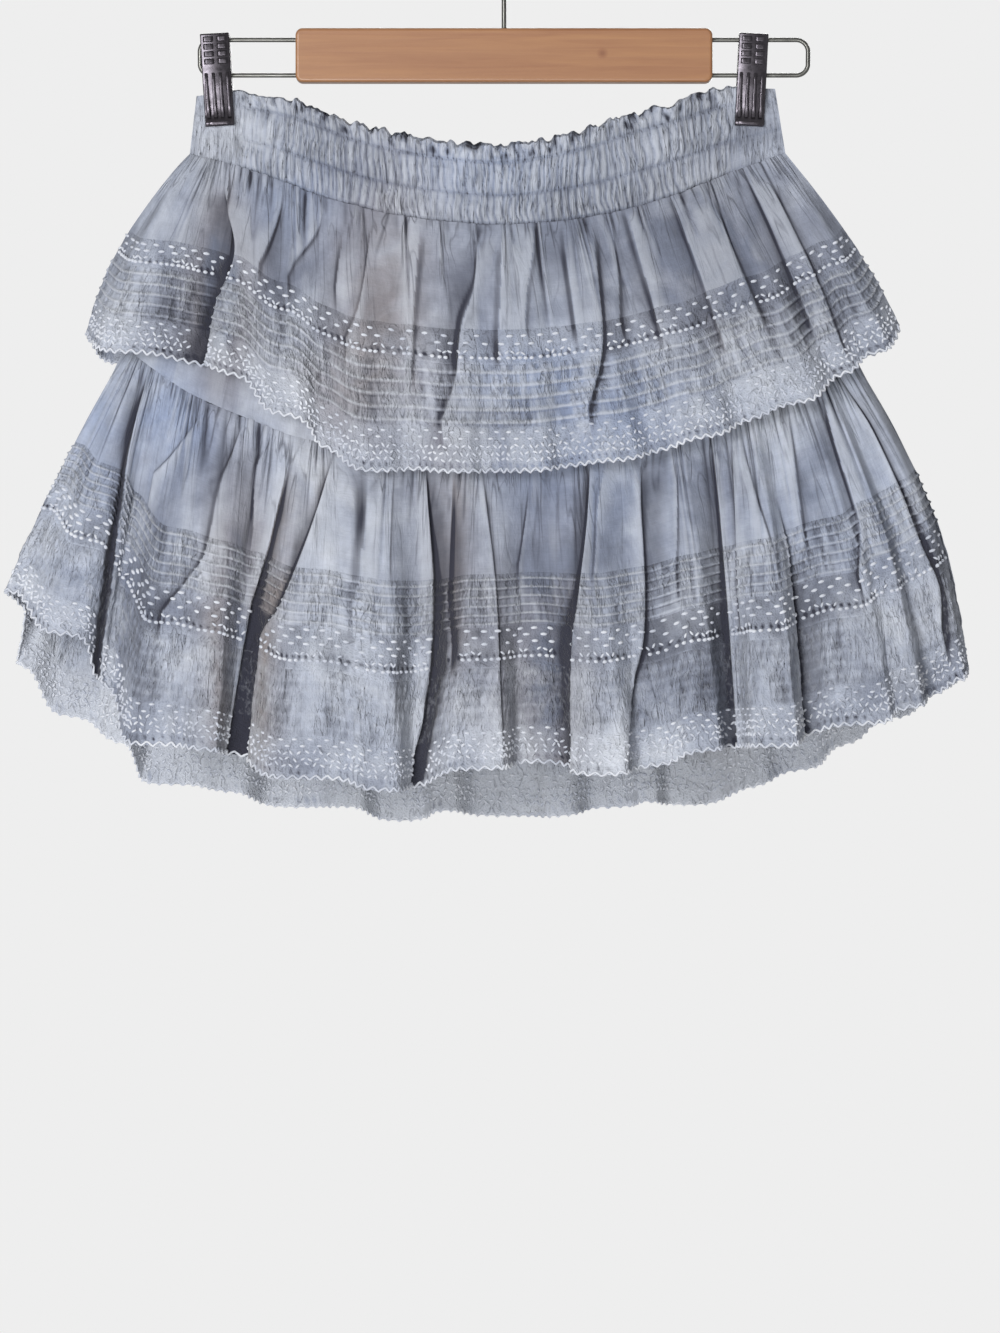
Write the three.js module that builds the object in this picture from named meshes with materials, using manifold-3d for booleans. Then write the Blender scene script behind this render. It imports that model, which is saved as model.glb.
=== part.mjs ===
// A two-tier ruffled mini skirt, hung by its waistband from a wood-and-wire clip hanger.
// Millimetres. +X is to the right of someone facing the skirt, -Y is towards them and +Z is up.
// The origin is the inner top of the hanger's hook, where a rod carries it.
import * as THREE from "three";
import { mergeVertices } from "three/addons/utils/BufferGeometryUtils.js";
import Module from "manifold-3d";

const wasm = await Module();
wasm.setup();

// Driving sizes of the skirt
const CLOTH = 1.2; // a ruffle's wall
const YOKE_CLOTH = 1; // the plain yoke's wall
const GAP = 0.3; // between pieces at a seam
const SEAM_GAP = 0.8; // below a seam that runs steeply, between walls of unlike thickness
const SKIRT_X = -9; // middle of the waist, a little left of the hook
const WAIST = { left: -172.7, right: 154.6, foot: 3, pinched: 2.6 };
const YOKE_FOOT = { left: -208, right: 190, front: 24, back: 20, roundness: 2.5 };
const BACK_LIFT = 4; // the back of the waist sags less than the front

// The waistband's edge and lower seam, from its left side seam to its right one.
// front and back are how far the band's inner face stands off the side seams' plane.
const WAIST_SECTIONS = table(
  ["topX", "topZ", "footX", "footZ", "front", "back"],
  [-169, -99, -172.7, -131, 0, 0],
  [-146, -96.5, -147, -137.5, 0, 0],
  [-121, -100.5, -124, -145.5, 5, 3],
  [-104, -106, -104, -153.5, 9, 5],
  [-84, -114.5, -84, -159.5, 12, 6.5],
  [-60, -121, -59, -165.5, 15, 7.5],
  [-35, -125.5, -34, -169, 17, 8],
  [-2, -128.5, -2, -171, 18, 8],
  [26, -124, 25, -169.5, 17, 8],
  [47, -118.5, 50, -166, 15, 7.5],
  [68.5, -110.5, 74, -160.5, 12, 6.5],
  [97, -102.5, 100, -151.5, 7, 4],
  [125, -94.5, 125, -141, 0, 0],
  [149, -95, 154.6, -130.5, 0, 0],
);
// Rows down the waistband: its thickness, and how far its gathers stand out of that.
const WAIST_ROWS = table(
  ["down", "thick", "gather"],
  [0, 1.4, 1.6],
  [0.2, 1.5, 0.3],
  [0.41, 2.4, 0.9],
  [0.63, 1.7, 0.3],
  [0.82, 2.5, 0.9],
  [1, 2.7, 0.3],
);
const WAIST_GATHERS = { front: 42, back: 32 };

// The lower seam of the yoke, which carries the lower tier.
const YOKE_SEAM = table(
  ["x", "z"],
  [-208, -238],
  [-172, -263],
  [-140, -277],
  [-110, -288],
  [-60, -296],
  [0, -298],
  [60, -293],
  [100, -284],
  [150, -266],
  [190, -238],
);

// The ruffles' flutes, a row for each crest and each fold between two crests. topX is where it leaves its
// seam, hemX and hemZ where it ends, out how far it stands off there and flat half of its level run.
const FLUTE = ["topX", "hemX", "hemZ", "out", "flat"];
const UPPER_FRONT = table(
  FLUTE,
  [-172.7, -230, -228.5, 0, 0],
  [-166, -206, -241, 27, 12],
  [-156, -165, -247, 23, 4],
  [-143, -146, -254, 36, 5],
  [-120, -119, -276, 41, 9],
  [-100, -97, -294, 36, 4],
  [-78, -72, -307, 45, 9],
  [-55, -49, -305, 39, 5],
  [-35, -26, -307.5, 46, 8],
  [-17, -6, -306.5, 41, 5],
  [1, 14, -307, 47, 9],
  [19, 37, -303.5, 41, 5],
  [38, 62, -301, 46, 9],
  [57, 87, -295, 39, 5],
  [76, 110, -288, 42, 9],
  [95, 135, -278, 34, 5],
  [115, 160, -269, 34, 9],
  [134, 186, -253, 22, 5],
  [146, 204, -240, 18, 6],
  [154.6, 217, -225, 0, 0],
);
const UPPER_BACK = table(
  FLUTE,
  [-172.7, -230, -228.5, 0, 0],
  [-160, -210, -245, 24, 9],
  [-140, -180, -262, 22, 6],
  [-118, -148, -279, 36, 10],
  [-96, -118, -293, 30, 6],
  [-72, -88, -303, 42, 10],
  [-48, -58, -308, 35, 5],
  [-26, -30, -311, 43, 9],
  [-6, -4, -311, 37, 5],
  [14, 22, -310, 43, 10],
  [36, 50, -306, 35, 6],
  [60, 82, -299, 41, 10],
  [84, 115, -287, 31, 6],
  [108, 150, -271, 33, 10],
  [130, 182, -253, 20, 6],
  [144, 202, -240, 16, 5],
  [154.6, 217, -225, 0, 0],
);
const LOWER_FRONT = table(
  FLUTE,
  [-208, -263, -382, 0, 0],
  [-205, -270, -370, 19, 3],
  [-197, -240, -395, 37, 10],
  [-188, -217, -424, 23, 2],
  [-168, -191, -455, 48, 14],
  [-146, -162, -458, 57, 6],
  [-127, -147, -460, 37, 5],
  [-100, -106, -473, 62, 22],
  [-64, -68, -480, 65, 9],
  [-40, -48, -478, 40, 3],
  [-14, -13, -468, 62, 14],
  [14, 19, -464.5, 43, 12],
  [42, 52, -471.5, 62, 12],
  [66, 82, -467, 47, 9],
  [92, 108, -458, 48, 9],
  [112, 126, -456, 32, 3],
  [130, 147, -456, 59, 11],
  [143, 165, -450, 37, 3],
  [157, 194, -444, 42, 16],
  [171, 220, -435, 35, 7],
  [177, 235, -429, 19, 3],
  [183, 249, -419, 18, 3],
  [190, 256, -412, 0, 0],
);
const LOWER_BACK = table(
  FLUTE,
  [-208, -263, -382, 0, 0],
  [-204, -266, -412, 19, 3],
  [-192, -240, -440, 33, 9],
  [-176, -213, -455, 25, 5],
  [-158, -187, -478, 47, 14],
  [-134, -152, -482, 36, 6],
  [-108, -118, -491, 56, 13],
  [-82, -86, -490, 43, 5],
  [-58, -57, -499, 60, 11],
  [-36, -33, -492, 45, 5],
  [-8, 0, -496, 60, 15],
  [18, 32, -496, 47, 5],
  [44, 61, -491, 60, 11],
  [62, 80, -487, 42, 4],
  [84, 105, -490, 57, 12],
  [106, 138, -480, 44, 6],
  [126, 165, -470, 50, 10],
  [144, 190, -456, 35, 6],
  [162, 216, -441, 36, 9],
  [176, 238, -426, 20, 4],
  [190, 256, -412, 0, 0],
);

// The bands of each tier: where each ends as a part of the drop from seam to hem, and its raised tucks.
const UPPER_BANDS = table(
  ["name", "end", "tucks"],
  ["gathered", 0.43, 0],
  ["insertion", 0.57, 0],
  ["pintucks", 0.82, 5],
  ["edging", 1, 0],
);
const LOWER_BANDS = table(
  ["name", "end", "tucks"],
  ["gathered", 0.38, 0],
  ["pintucks", 0.55, 6],
  ["insertion", 0.68, 0],
  ["gauze", 0.875, 0],
  ["edging", 1, 0],
);
const TUCK_HEIGHT = 0.9;
const TUCK_CREST = 0.7; // where a tuck's folded edge lies in its own pitch
const GATHER_HEIGHT = 1.5; // of the gathers below a tier's seam
const GATHER_END = 0.6; // where they die out, as a part of the drop
const FLARE = 0.8; // power that a ruffle's stand-off grows by
const SWELL = { upper: { left: 8.5, right: 5 }, lower: { left: 4, right: 12 } };
const LONGEST_STEP = 28; // of a ruffle's wall along its hem
const TOP_RUN = 0.34; // a flute's level run at its seam, as a part of the run at its hem

// Driving sizes of the hanger
const BAR = { length: 229, height: 29.7, depth: 14, top: -62, corner: 4, ease: 1.2 };
const WIRE = { radius: 1.25, high: -68, low: -87.5, reach: 168.5, bend: 6.5, seat: 12 };
const HOOK = { radius: 1.3, eye: 17, stemTop: -44, tip: 205, turn: -52, seat: 14 };
const CLIP = {
  left: { x: -157.5, tilt: 3.4 },
  right: { x: 136, tilt: -2.9 },
  width: 16,
  top: -64.8,
  foot: -115.8,
  shoulder: -93,
  grip: -99,
  back: 5.4,
  thick: 1.7,
  lip: 2.2,
};
const SPRING = { radius: 5, length: 13, z: -77.7 };

const COTTON = { color: 0xa3adbe, roughness: 0.92, metalness: 0 };
const LACE = { color: 0xb4bcc9, roughness: 0.9, metalness: 0 };
const WOOD = { color: 0xd9a468, roughness: 0.5, metalness: 0 };
const STEEL = { color: 0x8f8f98, roughness: 0.25, metalness: 1 };

// Gives each row of a table its columns' names.
function table(names, ...rows) {
  return rows.map((row) => Object.fromEntries(names.map((name, i) => [name, row[i]])));
}

// A smooth curve through the points (xs, ys) that doesn't overshoot them.
function curve(xs, ys) {
  const slopes = xs.slice(1).map((x, i) => (ys[i + 1] - ys[i]) / (x - xs[i]));
  const tangents = xs.map((_, i) => {
    const before = slopes[Math.max(0, i - 1)];
    const after = slopes[Math.min(slopes.length - 1, i)];
    return before * after <= 0 ? 0 : (2 * before * after) / (before + after);
  });
  return (x) => {
    let i = 0;
    while (i < xs.length - 2 && x > xs[i + 1]) i += 1;
    const step = xs[i + 1] - xs[i];
    const t = THREE.MathUtils.clamp((x - xs[i]) / step, 0, 1);
    const s = 1 - t;
    const ends = ys[i] * s * s * (1 + 2 * t) + ys[i + 1] * t * t * (1 + 2 * s);
    return ends + step * t * s * (tangents[i] * s - tangents[i + 1] * t);
  };
}

// A table's column as a curve of another column.
function columnCurve(rows, from, to) {
  return curve(rows.map((row) => row[from]), rows.map((row) => row[to]));
}

// A line's points in plan, each moved out of the cloth by its own distance. side is -1 on the front.
function movedOut(points, distances, side) {
  const facing = points.slice(1).map((point, i) => {
    const run = new THREE.Vector2(point.x - points[i].x, point.y - points[i].y).normalize();
    return new THREE.Vector2(side * -run.y, side * run.x);
  });
  return points.map((point, i) => {
    const before = facing[Math.max(0, i - 1)];
    const after = facing[Math.min(facing.length - 1, i)];
    const out = before.clone().add(after).normalize();
    const reach = distances[i] / Math.max(0.6, out.dot(after));
    return new THREE.Vector3(point.x + out.x * reach, point.y + out.y * reach, point.z);
  });
}

// Keeps a line of wall points on their own side of the side seams' plane.
function behindSeam(points, side) {
  return points.map(({ x, y, z }) => new THREE.Vector3(x, side * Math.max(side * y, GAP / 2), z));
}

// A closed wall between an outer and an inner grid of points, which have the same number in each row.
function wall(outer, inner) {
  const positions = [...outer.flat(), ...inner.flat()].flatMap((p) => [p.x, p.y, p.z]);
  const across = outer[0].length;
  const outerAt = (row, column) => row * across + column;
  const innerAt = (row, column) => (outer.length + row) * across + column;
  const faces = [];
  const quad = (a, b, c, d) => faces.push(a, b, c, a, c, d);
  for (let c = 0; c < across - 1; c += 1) {
    for (let r = 0; r < outer.length - 1; r += 1) {
      quad(outerAt(r, c), outerAt(r + 1, c), outerAt(r + 1, c + 1), outerAt(r, c + 1));
    }
    for (let r = 0; r < inner.length - 1; r += 1) {
      quad(innerAt(r, c), innerAt(r, c + 1), innerAt(r + 1, c + 1), innerAt(r + 1, c));
    }
    const [o, i] = [outer.length - 1, inner.length - 1];
    quad(outerAt(0, c), outerAt(0, c + 1), innerAt(0, c + 1), innerAt(0, c));
    quad(outerAt(o, c), innerAt(i, c), innerAt(i, c + 1), outerAt(o, c + 1));
  }
  for (const column of [0, across - 1]) {
    let [o, i] = [0, 0];
    const turn = (a, b, c) => (column ? faces.push(b, a, c) : faces.push(a, b, c));
    while (o < outer.length - 1 || i < inner.length - 1) {
      if ((o + 1) * (inner.length - 1) <= (i + 1) * (outer.length - 1)) {
        turn(outerAt(o + 1, column), outerAt(o, column), innerAt(i, column));
        o += 1;
      } else {
        turn(innerAt(i, column), innerAt(i + 1, column), outerAt(o, column));
        i += 1;
      }
    }
  }
  return facingOut(positions, faces);
}

// A geometry of the triangles, turned so that they face out of what they enclose.
function facingOut(positions, faces) {
  const at = (i) => new THREE.Vector3().fromArray(positions, 3 * i);
  let volume = 0;
  for (let i = 0; i < faces.length; i += 3) {
    volume += at(faces[i]).dot(at(faces[i + 1]).cross(at(faces[i + 2])));
  }
  const geometry = new THREE.BufferGeometry();
  geometry.setAttribute("position", new THREE.Float32BufferAttribute(positions, 3));
  geometry.setIndex(volume < 0 ? faces.slice().reverse() : faces);
  geometry.computeVertexNormals();
  return geometry;
}

// One side of the waistband as a line of points at a height between its edge, 0, and its lower seam, 1.
function waistLine(face, down) {
  const side = face === "front" ? -1 : 1;
  const count = 2 * WAIST_GATHERS[face];
  const topX = columnCurve(WAIST_SECTIONS, "footX", "topX");
  const topZ = columnCurve(WAIST_SECTIONS, "footX", "topZ");
  return Array.from({ length: count + 1 }, (_, i) => {
    const footX = THREE.MathUtils.lerp(WAIST.left, WAIST.right, i / count);
    const x = THREE.MathUtils.lerp(topX(footX), footX, down);
    const top = topZ(footX) + backLift(face, footX);
    const z = THREE.MathUtils.lerp(top, waistSeamZ(face, footX), down);
    return new THREE.Vector3(x, side * (GAP / 2 + waistOut(face, footX)), z);
  });
}

// How much higher the back of the waist hangs than the front.
function backLift(face, x) {
  const across = (x - SKIRT_X) / (WAIST.right - SKIRT_X);
  return face === "front" ? 0 : BACK_LIFT * Math.max(0, 1 - across ** 2);
}

// 1 where a clip or a side seam holds the waistband flat, 0 where it is free.
function pinched(x) {
  const hold = CLIP.width / 2 + 3;
  const near = [CLIP.left.x, CLIP.right.x].map((clip) => (Math.abs(x - clip) - hold) / 9);
  const past = x < CLIP.left.x || x > CLIP.right.x ? 0 : 1;
  return 1 - THREE.MathUtils.clamp(Math.min(past, ...near), 0, 1);
}

function waistband(face) {
  const side = face === "front" ? -1 : 1;
  const outer = WAIST_ROWS.map(({ down, thick, gather }) => {
    const line = waistLine(face, down);
    const reach = line.map(({ x }, i) => {
      const free = thick + gather * (i % 2);
      return THREE.MathUtils.lerp(free, WAIST.pinched, pinched(x));
    });
    return movedOut(line, reach, side);
  });
  const inner = [WAIST_ROWS[0], WAIST_ROWS[1], WAIST_ROWS.at(-1)].map(({ down, gather }, row) => {
    const line = waistLine(face, down);
    const frill = row === 0 ? gather : 0;
    const reach = line.map(({ x }, i) => frill * (i % 2) * (1 - pinched(x)));
    return movedOut(line, reach, side);
  });
  return wall(outer, inner);
}

// Where the waist seam lies at x, and how far the band's inner face stands off there.
const waistSeamZ = (face, x) => columnCurve(WAIST_SECTIONS, "footX", "footZ")(x) + backLift(face, x);
const waistOut = (face, x) => columnCurve(WAIST_SECTIONS, "footX", face)(x);

// The same for the yoke's lower seam, which is a flat oval from above.
const yokeSeamZ = columnCurve(YOKE_SEAM, "x", "z");
function yokeOut(face, x) {
  const half = (YOKE_FOOT.right - YOKE_FOOT.left) / 2;
  const across = Math.min(1, Math.abs(x - (YOKE_FOOT.left + half)) / half);
  return YOKE_FOOT[face] * (1 - across ** YOKE_FOOT.roundness) ** (1 / YOKE_FOOT.roundness);
}

// What each tier hangs from, and its flutes.
const TIERS = {
  upper: {
    flutes: { front: UPPER_FRONT, back: UPPER_BACK },
    bands: UPPER_BANDS,
    seamZ: waistSeamZ,
    seamOut: (face, x) => waistOut(face, x) + WAIST.foot,
  },
  lower: {
    flutes: { front: LOWER_FRONT, back: LOWER_BACK },
    bands: LOWER_BANDS,
    seamZ: (face, x) => yokeSeamZ(x),
    seamOut: yokeOut,
  },
};

// The columns of a ruffle: both ends of each flute's level run, and a point between where they lie far apart.
function ruffleColumns(tier, face) {
  const rows = TIERS[tier].flutes[face];
  const stations = rows.flatMap((row) =>
    (row.flat ? [-1, 1] : [0]).map((end) => ({
      ...row,
      topX: row.topX + end * row.flat * TOP_RUN,
      hemX: row.hemX + end * row.flat,
    })),
  );
  const along = [0];
  for (let i = 1; i < stations.length; i += 1) {
    const [a, b] = [stations[i - 1], stations[i]];
    along.push(along[i - 1] + Math.hypot(b.hemX - a.hemX, b.hemZ - a.hemZ, b.out - a.out));
  }
  const column = (name) => curve(along, stations.map((station) => station[name]));
  const [topX, hemX, hemZ, out] = ["topX", "hemX", "hemZ", "out"].map(column);
  const places = along.flatMap((place, i) => {
    const pieces = i ? Math.ceil((place - along[i - 1]) / LONGEST_STEP) : 1;
    const from = i ? along[i - 1] : 0;
    return Array.from({ length: pieces }, (_, k) => THREE.MathUtils.lerp(from, place, (k + 1) / pieces));
  });
  return places.map((place) => ({
    share: place / along.at(-1),
    topX: topX(place),
    hemX: hemX(place),
    hemZ: hemZ(place),
    out: out(place),
  }));
}

// A ruffle's line of outer points at a height between its seam, 0, and its hem, 1. shift moves the line
// down, square to itself, in mm.
function ruffleLine(tier, face, columns, down, shift) {
  const side = face === "front" ? -1 : 1;
  const { seamZ, seamOut } = TIERS[tier];
  const swell = SWELL[tier];
  const tops = columns.map(({ topX }) => new THREE.Vector3(topX, seamOut(face, topX), seamZ(face, topX)));
  const hems = columns.map(({ hemX, hemZ, out }) => new THREE.Vector3(hemX, out, hemZ));
  return columns.map(({ share }, i) => {
    const [top, hem] = [tops[i], hems[i]];
    const drop = hem.clone().sub(top);
    const here = top.clone().lerp(hem, down);
    const slants = [i - 1, i + 1]
      .filter((k) => tops[k])
      .map((k) => Math.sin(tops[k].clone().lerp(hems[k], down).sub(here).angleTo(drop)));
    const at = down + shift / Math.max(0.25, Math.min(...slants)) / drop.length();
    const push = swell.right * share ** 6 - swell.left * (1 - share) ** 6;
    return new THREE.Vector3(
      THREE.MathUtils.lerp(top.x, hem.x, at) + push * Math.sin(Math.PI * at),
      side * (GAP / 2 + THREE.MathUtils.lerp(top.y, hem.y, Math.max(0, at) ** FLARE)),
      THREE.MathUtils.lerp(top.z, hem.z, at),
    );
  });
}

// How far the gathers below a tier's seam stand out at a height.
function gatherHeight(down) {
  return GATHER_HEIGHT * Math.max(0, 1 - down / GATHER_END) * (0.5 + 0.5 * Math.min(1, down / 0.06));
}

// The heights of a band's rows. A tuck has a row at its foot and one at its folded edge.
function bandRows({ start, end, tucks, name }) {
  if (tucks === 0) {
    const steps = name === "gathered" ? [0, 0.14, 0.4, 1] : [0, 1];
    return steps.map((step) => ({ down: THREE.MathUtils.lerp(start, end, step), raise: 0 }));
  }
  const pitch = (end - start) / tucks;
  const rows = Array.from({ length: tucks }, (_, i) => [
    { down: start + i * pitch, raise: 0 },
    { down: start + (i + TUCK_CREST) * pitch, raise: TUCK_HEIGHT },
  ]).flat();
  return [...rows, { down: end, raise: 0 }];
}

// One band of a ruffle, 0.3 mm clear of the bands above and below.
function ruffleBand(tier, face, columns, band) {
  const side = face === "front" ? -1 : 1;
  const rows = bandRows(band);
  const line = ({ down }, row) => {
    const above = down === 0 ? SEAM_GAP : GAP / 2;
    const shift = row === 0 ? above : down === band.end && down < 1 ? -GAP / 2 : 0;
    return ruffleLine(tier, face, columns, down, shift);
  };
  const gather = ({ down }, column) => gatherHeight(down) * (column % 2);
  const outer = rows.map((row, i) => {
    const reach = columns.map((_, c) => gather(row, c) + row.raise);
    return behindSeam(movedOut(line(row, i), reach, side), side);
  });
  const plain = rows.filter(({ raise }) => raise === 0);
  const kept = band.tucks ? [plain[0], plain.at(-1)] : plain;
  const inner = kept.map((row, i) => {
    const reach = columns.map((_, c) => gather(row, c) - CLOTH);
    return behindSeam(movedOut(line(row, i), reach, side), side);
  });
  return wall(outer, inner);
}

// The plain yoke between the waist seam and the lower tier.
function yoke(face, columns) {
  const side = face === "front" ? -1 : 1;
  const waistWidth = WAIST.right - WAIST.left;
  const footWidth = YOKE_FOOT.right - YOKE_FOOT.left;
  const line = (down, shift) =>
    columns.map(({ topX: footX }) => {
      const topX = WAIST.left + ((footX - YOKE_FOOT.left) / footWidth) * waistWidth;
      const top = new THREE.Vector3(topX, waistOut(face, topX) + YOKE_CLOTH, waistSeamZ(face, topX));
      const foot = new THREE.Vector3(footX, yokeOut(face, footX), yokeSeamZ(footX));
      const point = top.clone().lerp(foot, down + shift / top.distanceTo(foot));
      return new THREE.Vector3(point.x, side * (GAP / 2 + point.y), point.z);
    });
  const lines = [line(0, SEAM_GAP), line(0.5, 0), line(1, -GAP / 2)];
  const inner = lines.map((points) => movedOut(points, points.map(() => -YOKE_CLOTH), side));
  return wall(lines, inner.map((points) => behindSeam(points, side)));
}

// A geometry as a solid that can be cut or joined.
function solid(geometry) {
  const bare = geometry.clone();
  bare.deleteAttribute("normal");
  bare.deleteAttribute("uv");
  const merged = mergeVertices(bare, 1e-4);
  const vertProperties = merged.attributes.position.array;
  const triVerts = new Uint32Array(merged.index.array);
  return new wasm.Manifold(new wasm.Mesh({ numProp: 3, vertProperties, triVerts }));
}

function geometryOf(manifold) {
  const { vertProperties, triVerts } = manifold.getMesh();
  const geometry = new THREE.BufferGeometry();
  geometry.setAttribute("position", new THREE.BufferAttribute(vertProperties, 3));
  geometry.setIndex(new THREE.BufferAttribute(triVerts, 1));
  geometry.computeVertexNormals();
  return geometry;
}

function rod(radius, length, x, y, z, axis) {
  const geometry = new THREE.CylinderGeometry(radius, radius, length, 10);
  if (axis === "x") geometry.rotateZ(Math.PI / 2);
  if (axis === "z") geometry.rotateX(Math.PI / 2);
  return geometry.translate(x, y, z);
}

// A round wire along a curve.
function wire(path, radius, steps) {
  const section = new THREE.Shape().absarc(0, 0, radius, 0, 2 * Math.PI);
  return new THREE.ExtrudeGeometry(section, { extrudePath: path, steps, curveSegments: 3 });
}

function roundedRect(width, height, radius) {
  const [w, h] = [width / 2, height / 2];
  const shape = new THREE.Shape();
  shape.absarc(w - radius, h - radius, radius, 0, Math.PI / 2);
  shape.absarc(radius - w, h - radius, radius, Math.PI / 2, Math.PI);
  shape.absarc(radius - w, radius - h, radius, Math.PI, 1.5 * Math.PI);
  shape.absarc(w - radius, radius - h, radius, 1.5 * Math.PI, 2 * Math.PI);
  return shape;
}

// The wooden bar, drilled for the hook and for both ends of each wire.
function bar() {
  const { length, height, depth, top, corner, ease } = BAR;
  const outline = roundedRect(length - 2 * ease, height - 2 * ease, corner);
  const block = new THREE.ExtrudeGeometry(outline, {
    depth: depth - 2 * ease,
    bevelSize: ease,
    bevelThickness: ease,
    bevelSegments: 1,
    curveSegments: 2,
  });
  block.translate(0, 0, ease - depth / 2).rotateX(Math.PI / 2).translate(0, 0, top - height / 2);
  const holes = [rod(HOOK.radius + GAP, 2 * (HOOK.seat + GAP), 0, 0, top, "z")];
  for (const end of [-1, 1]) {
    for (const z of [WIRE.high, WIRE.low]) {
      holes.push(rod(WIRE.radius + GAP, 2 * (WIRE.seat + GAP), (end * length) / 2, 0, z, "x"));
    }
  }
  return geometryOf(holes.reduce((rest, hole) => rest.subtract(solid(hole)), solid(block)));
}

// A straight stretch and the bends of a wire that runs out from the bar, turns and comes back.
function sideWire(end) {
  const { radius, high, low, reach, bend, seat } = WIRE;
  const start = end * (BAR.length / 2 - seat);
  const turn = end * (reach - radius);
  const point = (x, z) => new THREE.Vector3(x, 0, z);
  const path = new THREE.CurvePath();
  path.add(new THREE.LineCurve3(point(start, high), point(turn - end * bend, high)));
  path.add(
    new THREE.CubicBezierCurve3(
      point(turn - end * bend, high),
      point(turn - end * bend * 0.45, high),
      point(turn, high - bend * 0.45),
      point(turn, high - bend),
    ),
  );
  path.add(new THREE.LineCurve3(point(turn, high - bend), point(turn, low + bend)));
  path.add(
    new THREE.CubicBezierCurve3(
      point(turn, low + bend),
      point(turn, low + bend * 0.45),
      point(turn - end * bend * 0.45, low),
      point(turn - end * bend, low),
    ),
  );
  path.add(new THREE.LineCurve3(point(turn - end * bend, low), point(start, low)));
  return wire(path, radius, 32);
}

// The hook: a stem out of the bar, a sweep to one side and round the eye to its tip.
function hook() {
  const { radius, eye, stemTop, tip, turn, seat } = HOOK;
  const centre = eye + radius;
  const stem = [BAR.top - seat, BAR.top, BAR.top + 4, stemTop - 8, stemTop - 4, stemTop];
  const points = stem.map((z) => new THREE.Vector3(0, 0, z));
  const arcSteps = 12;
  for (let i = 0; i <= arcSteps; i += 1) {
    const angle = THREE.MathUtils.degToRad(THREE.MathUtils.lerp(turn, tip, i / arcSteps));
    points.push(new THREE.Vector3(centre * Math.cos(angle), 0, centre * Math.sin(angle) - eye));
  }
  return wire(new THREE.CatmullRomCurve3(points), radius, 36);
}

// A box between two corners, slightly sunk into what it is joined to.
function block(x, width, outY, inY, low, high) {
  const geometry = new THREE.BoxGeometry(width, Math.abs(inY - outY), high - low);
  return solid(geometry.translate(x, (outY + inY) / 2, (low + high) / 2));
}

// A clip's jaw on the front, side -1, or the back: a bent plate with four ribs.
function jaw(side) {
  const { width, top, foot, shoulder, grip, back, thick, lip } = CLIP;
  const cloth = GAP / 2 + WAIST.pinched + GAP;
  const profile = new THREE.Shape([
    new THREE.Vector2(back, top),
    new THREE.Vector2(back + thick, top),
    new THREE.Vector2(back + thick, shoulder),
    new THREE.Vector2(cloth + thick, grip - 8),
    new THREE.Vector2(cloth + thick, foot + 3),
    new THREE.Vector2(cloth + lip + 0.6, foot + 2),
    new THREE.Vector2(cloth + lip, foot),
    new THREE.Vector2(cloth, foot),
    new THREE.Vector2(cloth, grip),
    new THREE.Vector2(back, shoulder + 1),
  ]);
  const plate = new THREE.ExtrudeGeometry(profile, { depth: width, bevelEnabled: false });
  // The profile lies in depth and height, and its extrusion runs across the clip.
  plate.translate(0, 0, -width / 2);
  plate.applyMatrix4(
    new THREE.Matrix4().makeBasis(
      new THREE.Vector3(0, side, 0),
      new THREE.Vector3(0, 0, 1),
      new THREE.Vector3(side, 0, 0),
    ),
  );
  let made = solid(plate);
  const face = back + thick;
  for (const rib of [-1.5, -0.5, 0.5, 1.5]) {
    made = made.add(block(rib * 3.8, 1.8, side * (face + 0.6), side * (cloth + 1), grip - 9, shoulder + 8));
  }
  return geometryOf(made);
}

const group = new THREE.Group();

// Adds a named mesh with a material of its own.
function add(name, geometry, finish, parent = group) {
  const mesh = new THREE.Mesh(geometry, new THREE.MeshStandardMaterial(finish));
  mesh.name = name;
  parent.add(mesh);
  return mesh;
}

for (const face of ["front", "back"]) {
  add(`waistband_${face}`, waistband(face), COTTON);
  add(`yoke_${face}`, yoke(face, ruffleColumns("lower", face)), COTTON);
  for (const [tier, { bands }] of Object.entries(TIERS)) {
    const columns = ruffleColumns(tier, face);
    bands.forEach((band, i) => {
      const start = i ? bands[i - 1].end : 0;
      const finish = ["insertion", "edging"].includes(band.name) ? LACE : COTTON;
      add(`${tier}_${band.name}_${face}`, ruffleBand(tier, face, columns, { ...band, start }), finish);
    });
  }
}

add("hanger_bar", bar(), WOOD);
add("hanger_hook", hook(), STEEL);
for (const [name, end] of Object.entries({ left: -1, right: 1 })) {
  add(`hanger_wire_${name}`, sideWire(end), STEEL);
  const clip = new THREE.Group();
  const middle = (CLIP.top + CLIP.foot) / 2;
  clip.position.set(CLIP[name].x, 0, middle);
  clip.rotation.y = THREE.MathUtils.degToRad(-CLIP[name].tilt);
  group.add(clip);
  for (const [face, side] of Object.entries({ front: -1, back: 1 })) {
    add(`clip_${name}_${face}_jaw`, jaw(side).translate(0, 0, -middle), STEEL, clip);
  }
  add(`clip_${name}_spring`, rod(SPRING.radius, SPRING.length, 0, 0, SPRING.z - middle, "x"), STEEL, clip);
}

export default group;
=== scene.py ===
"""A two-tier ruffled mini skirt, hung by two clips from a wood-and-wire hanger.

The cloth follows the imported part's own surfaces and adds what such cloth does: gathers, creases, tucks,
crinkle, lace and its trimmings. Sizes are millimetres unless a name says otherwise, and MM turns them into
the frame's metres. A place is how far along a ruffle's hem a point lies, and a down is how far it lies
between the seam, 0, and the hem, 1.
"""

import logging
import math
from dataclasses import dataclass, field
from enum import Enum
from typing import Iterable, Sequence

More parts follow.
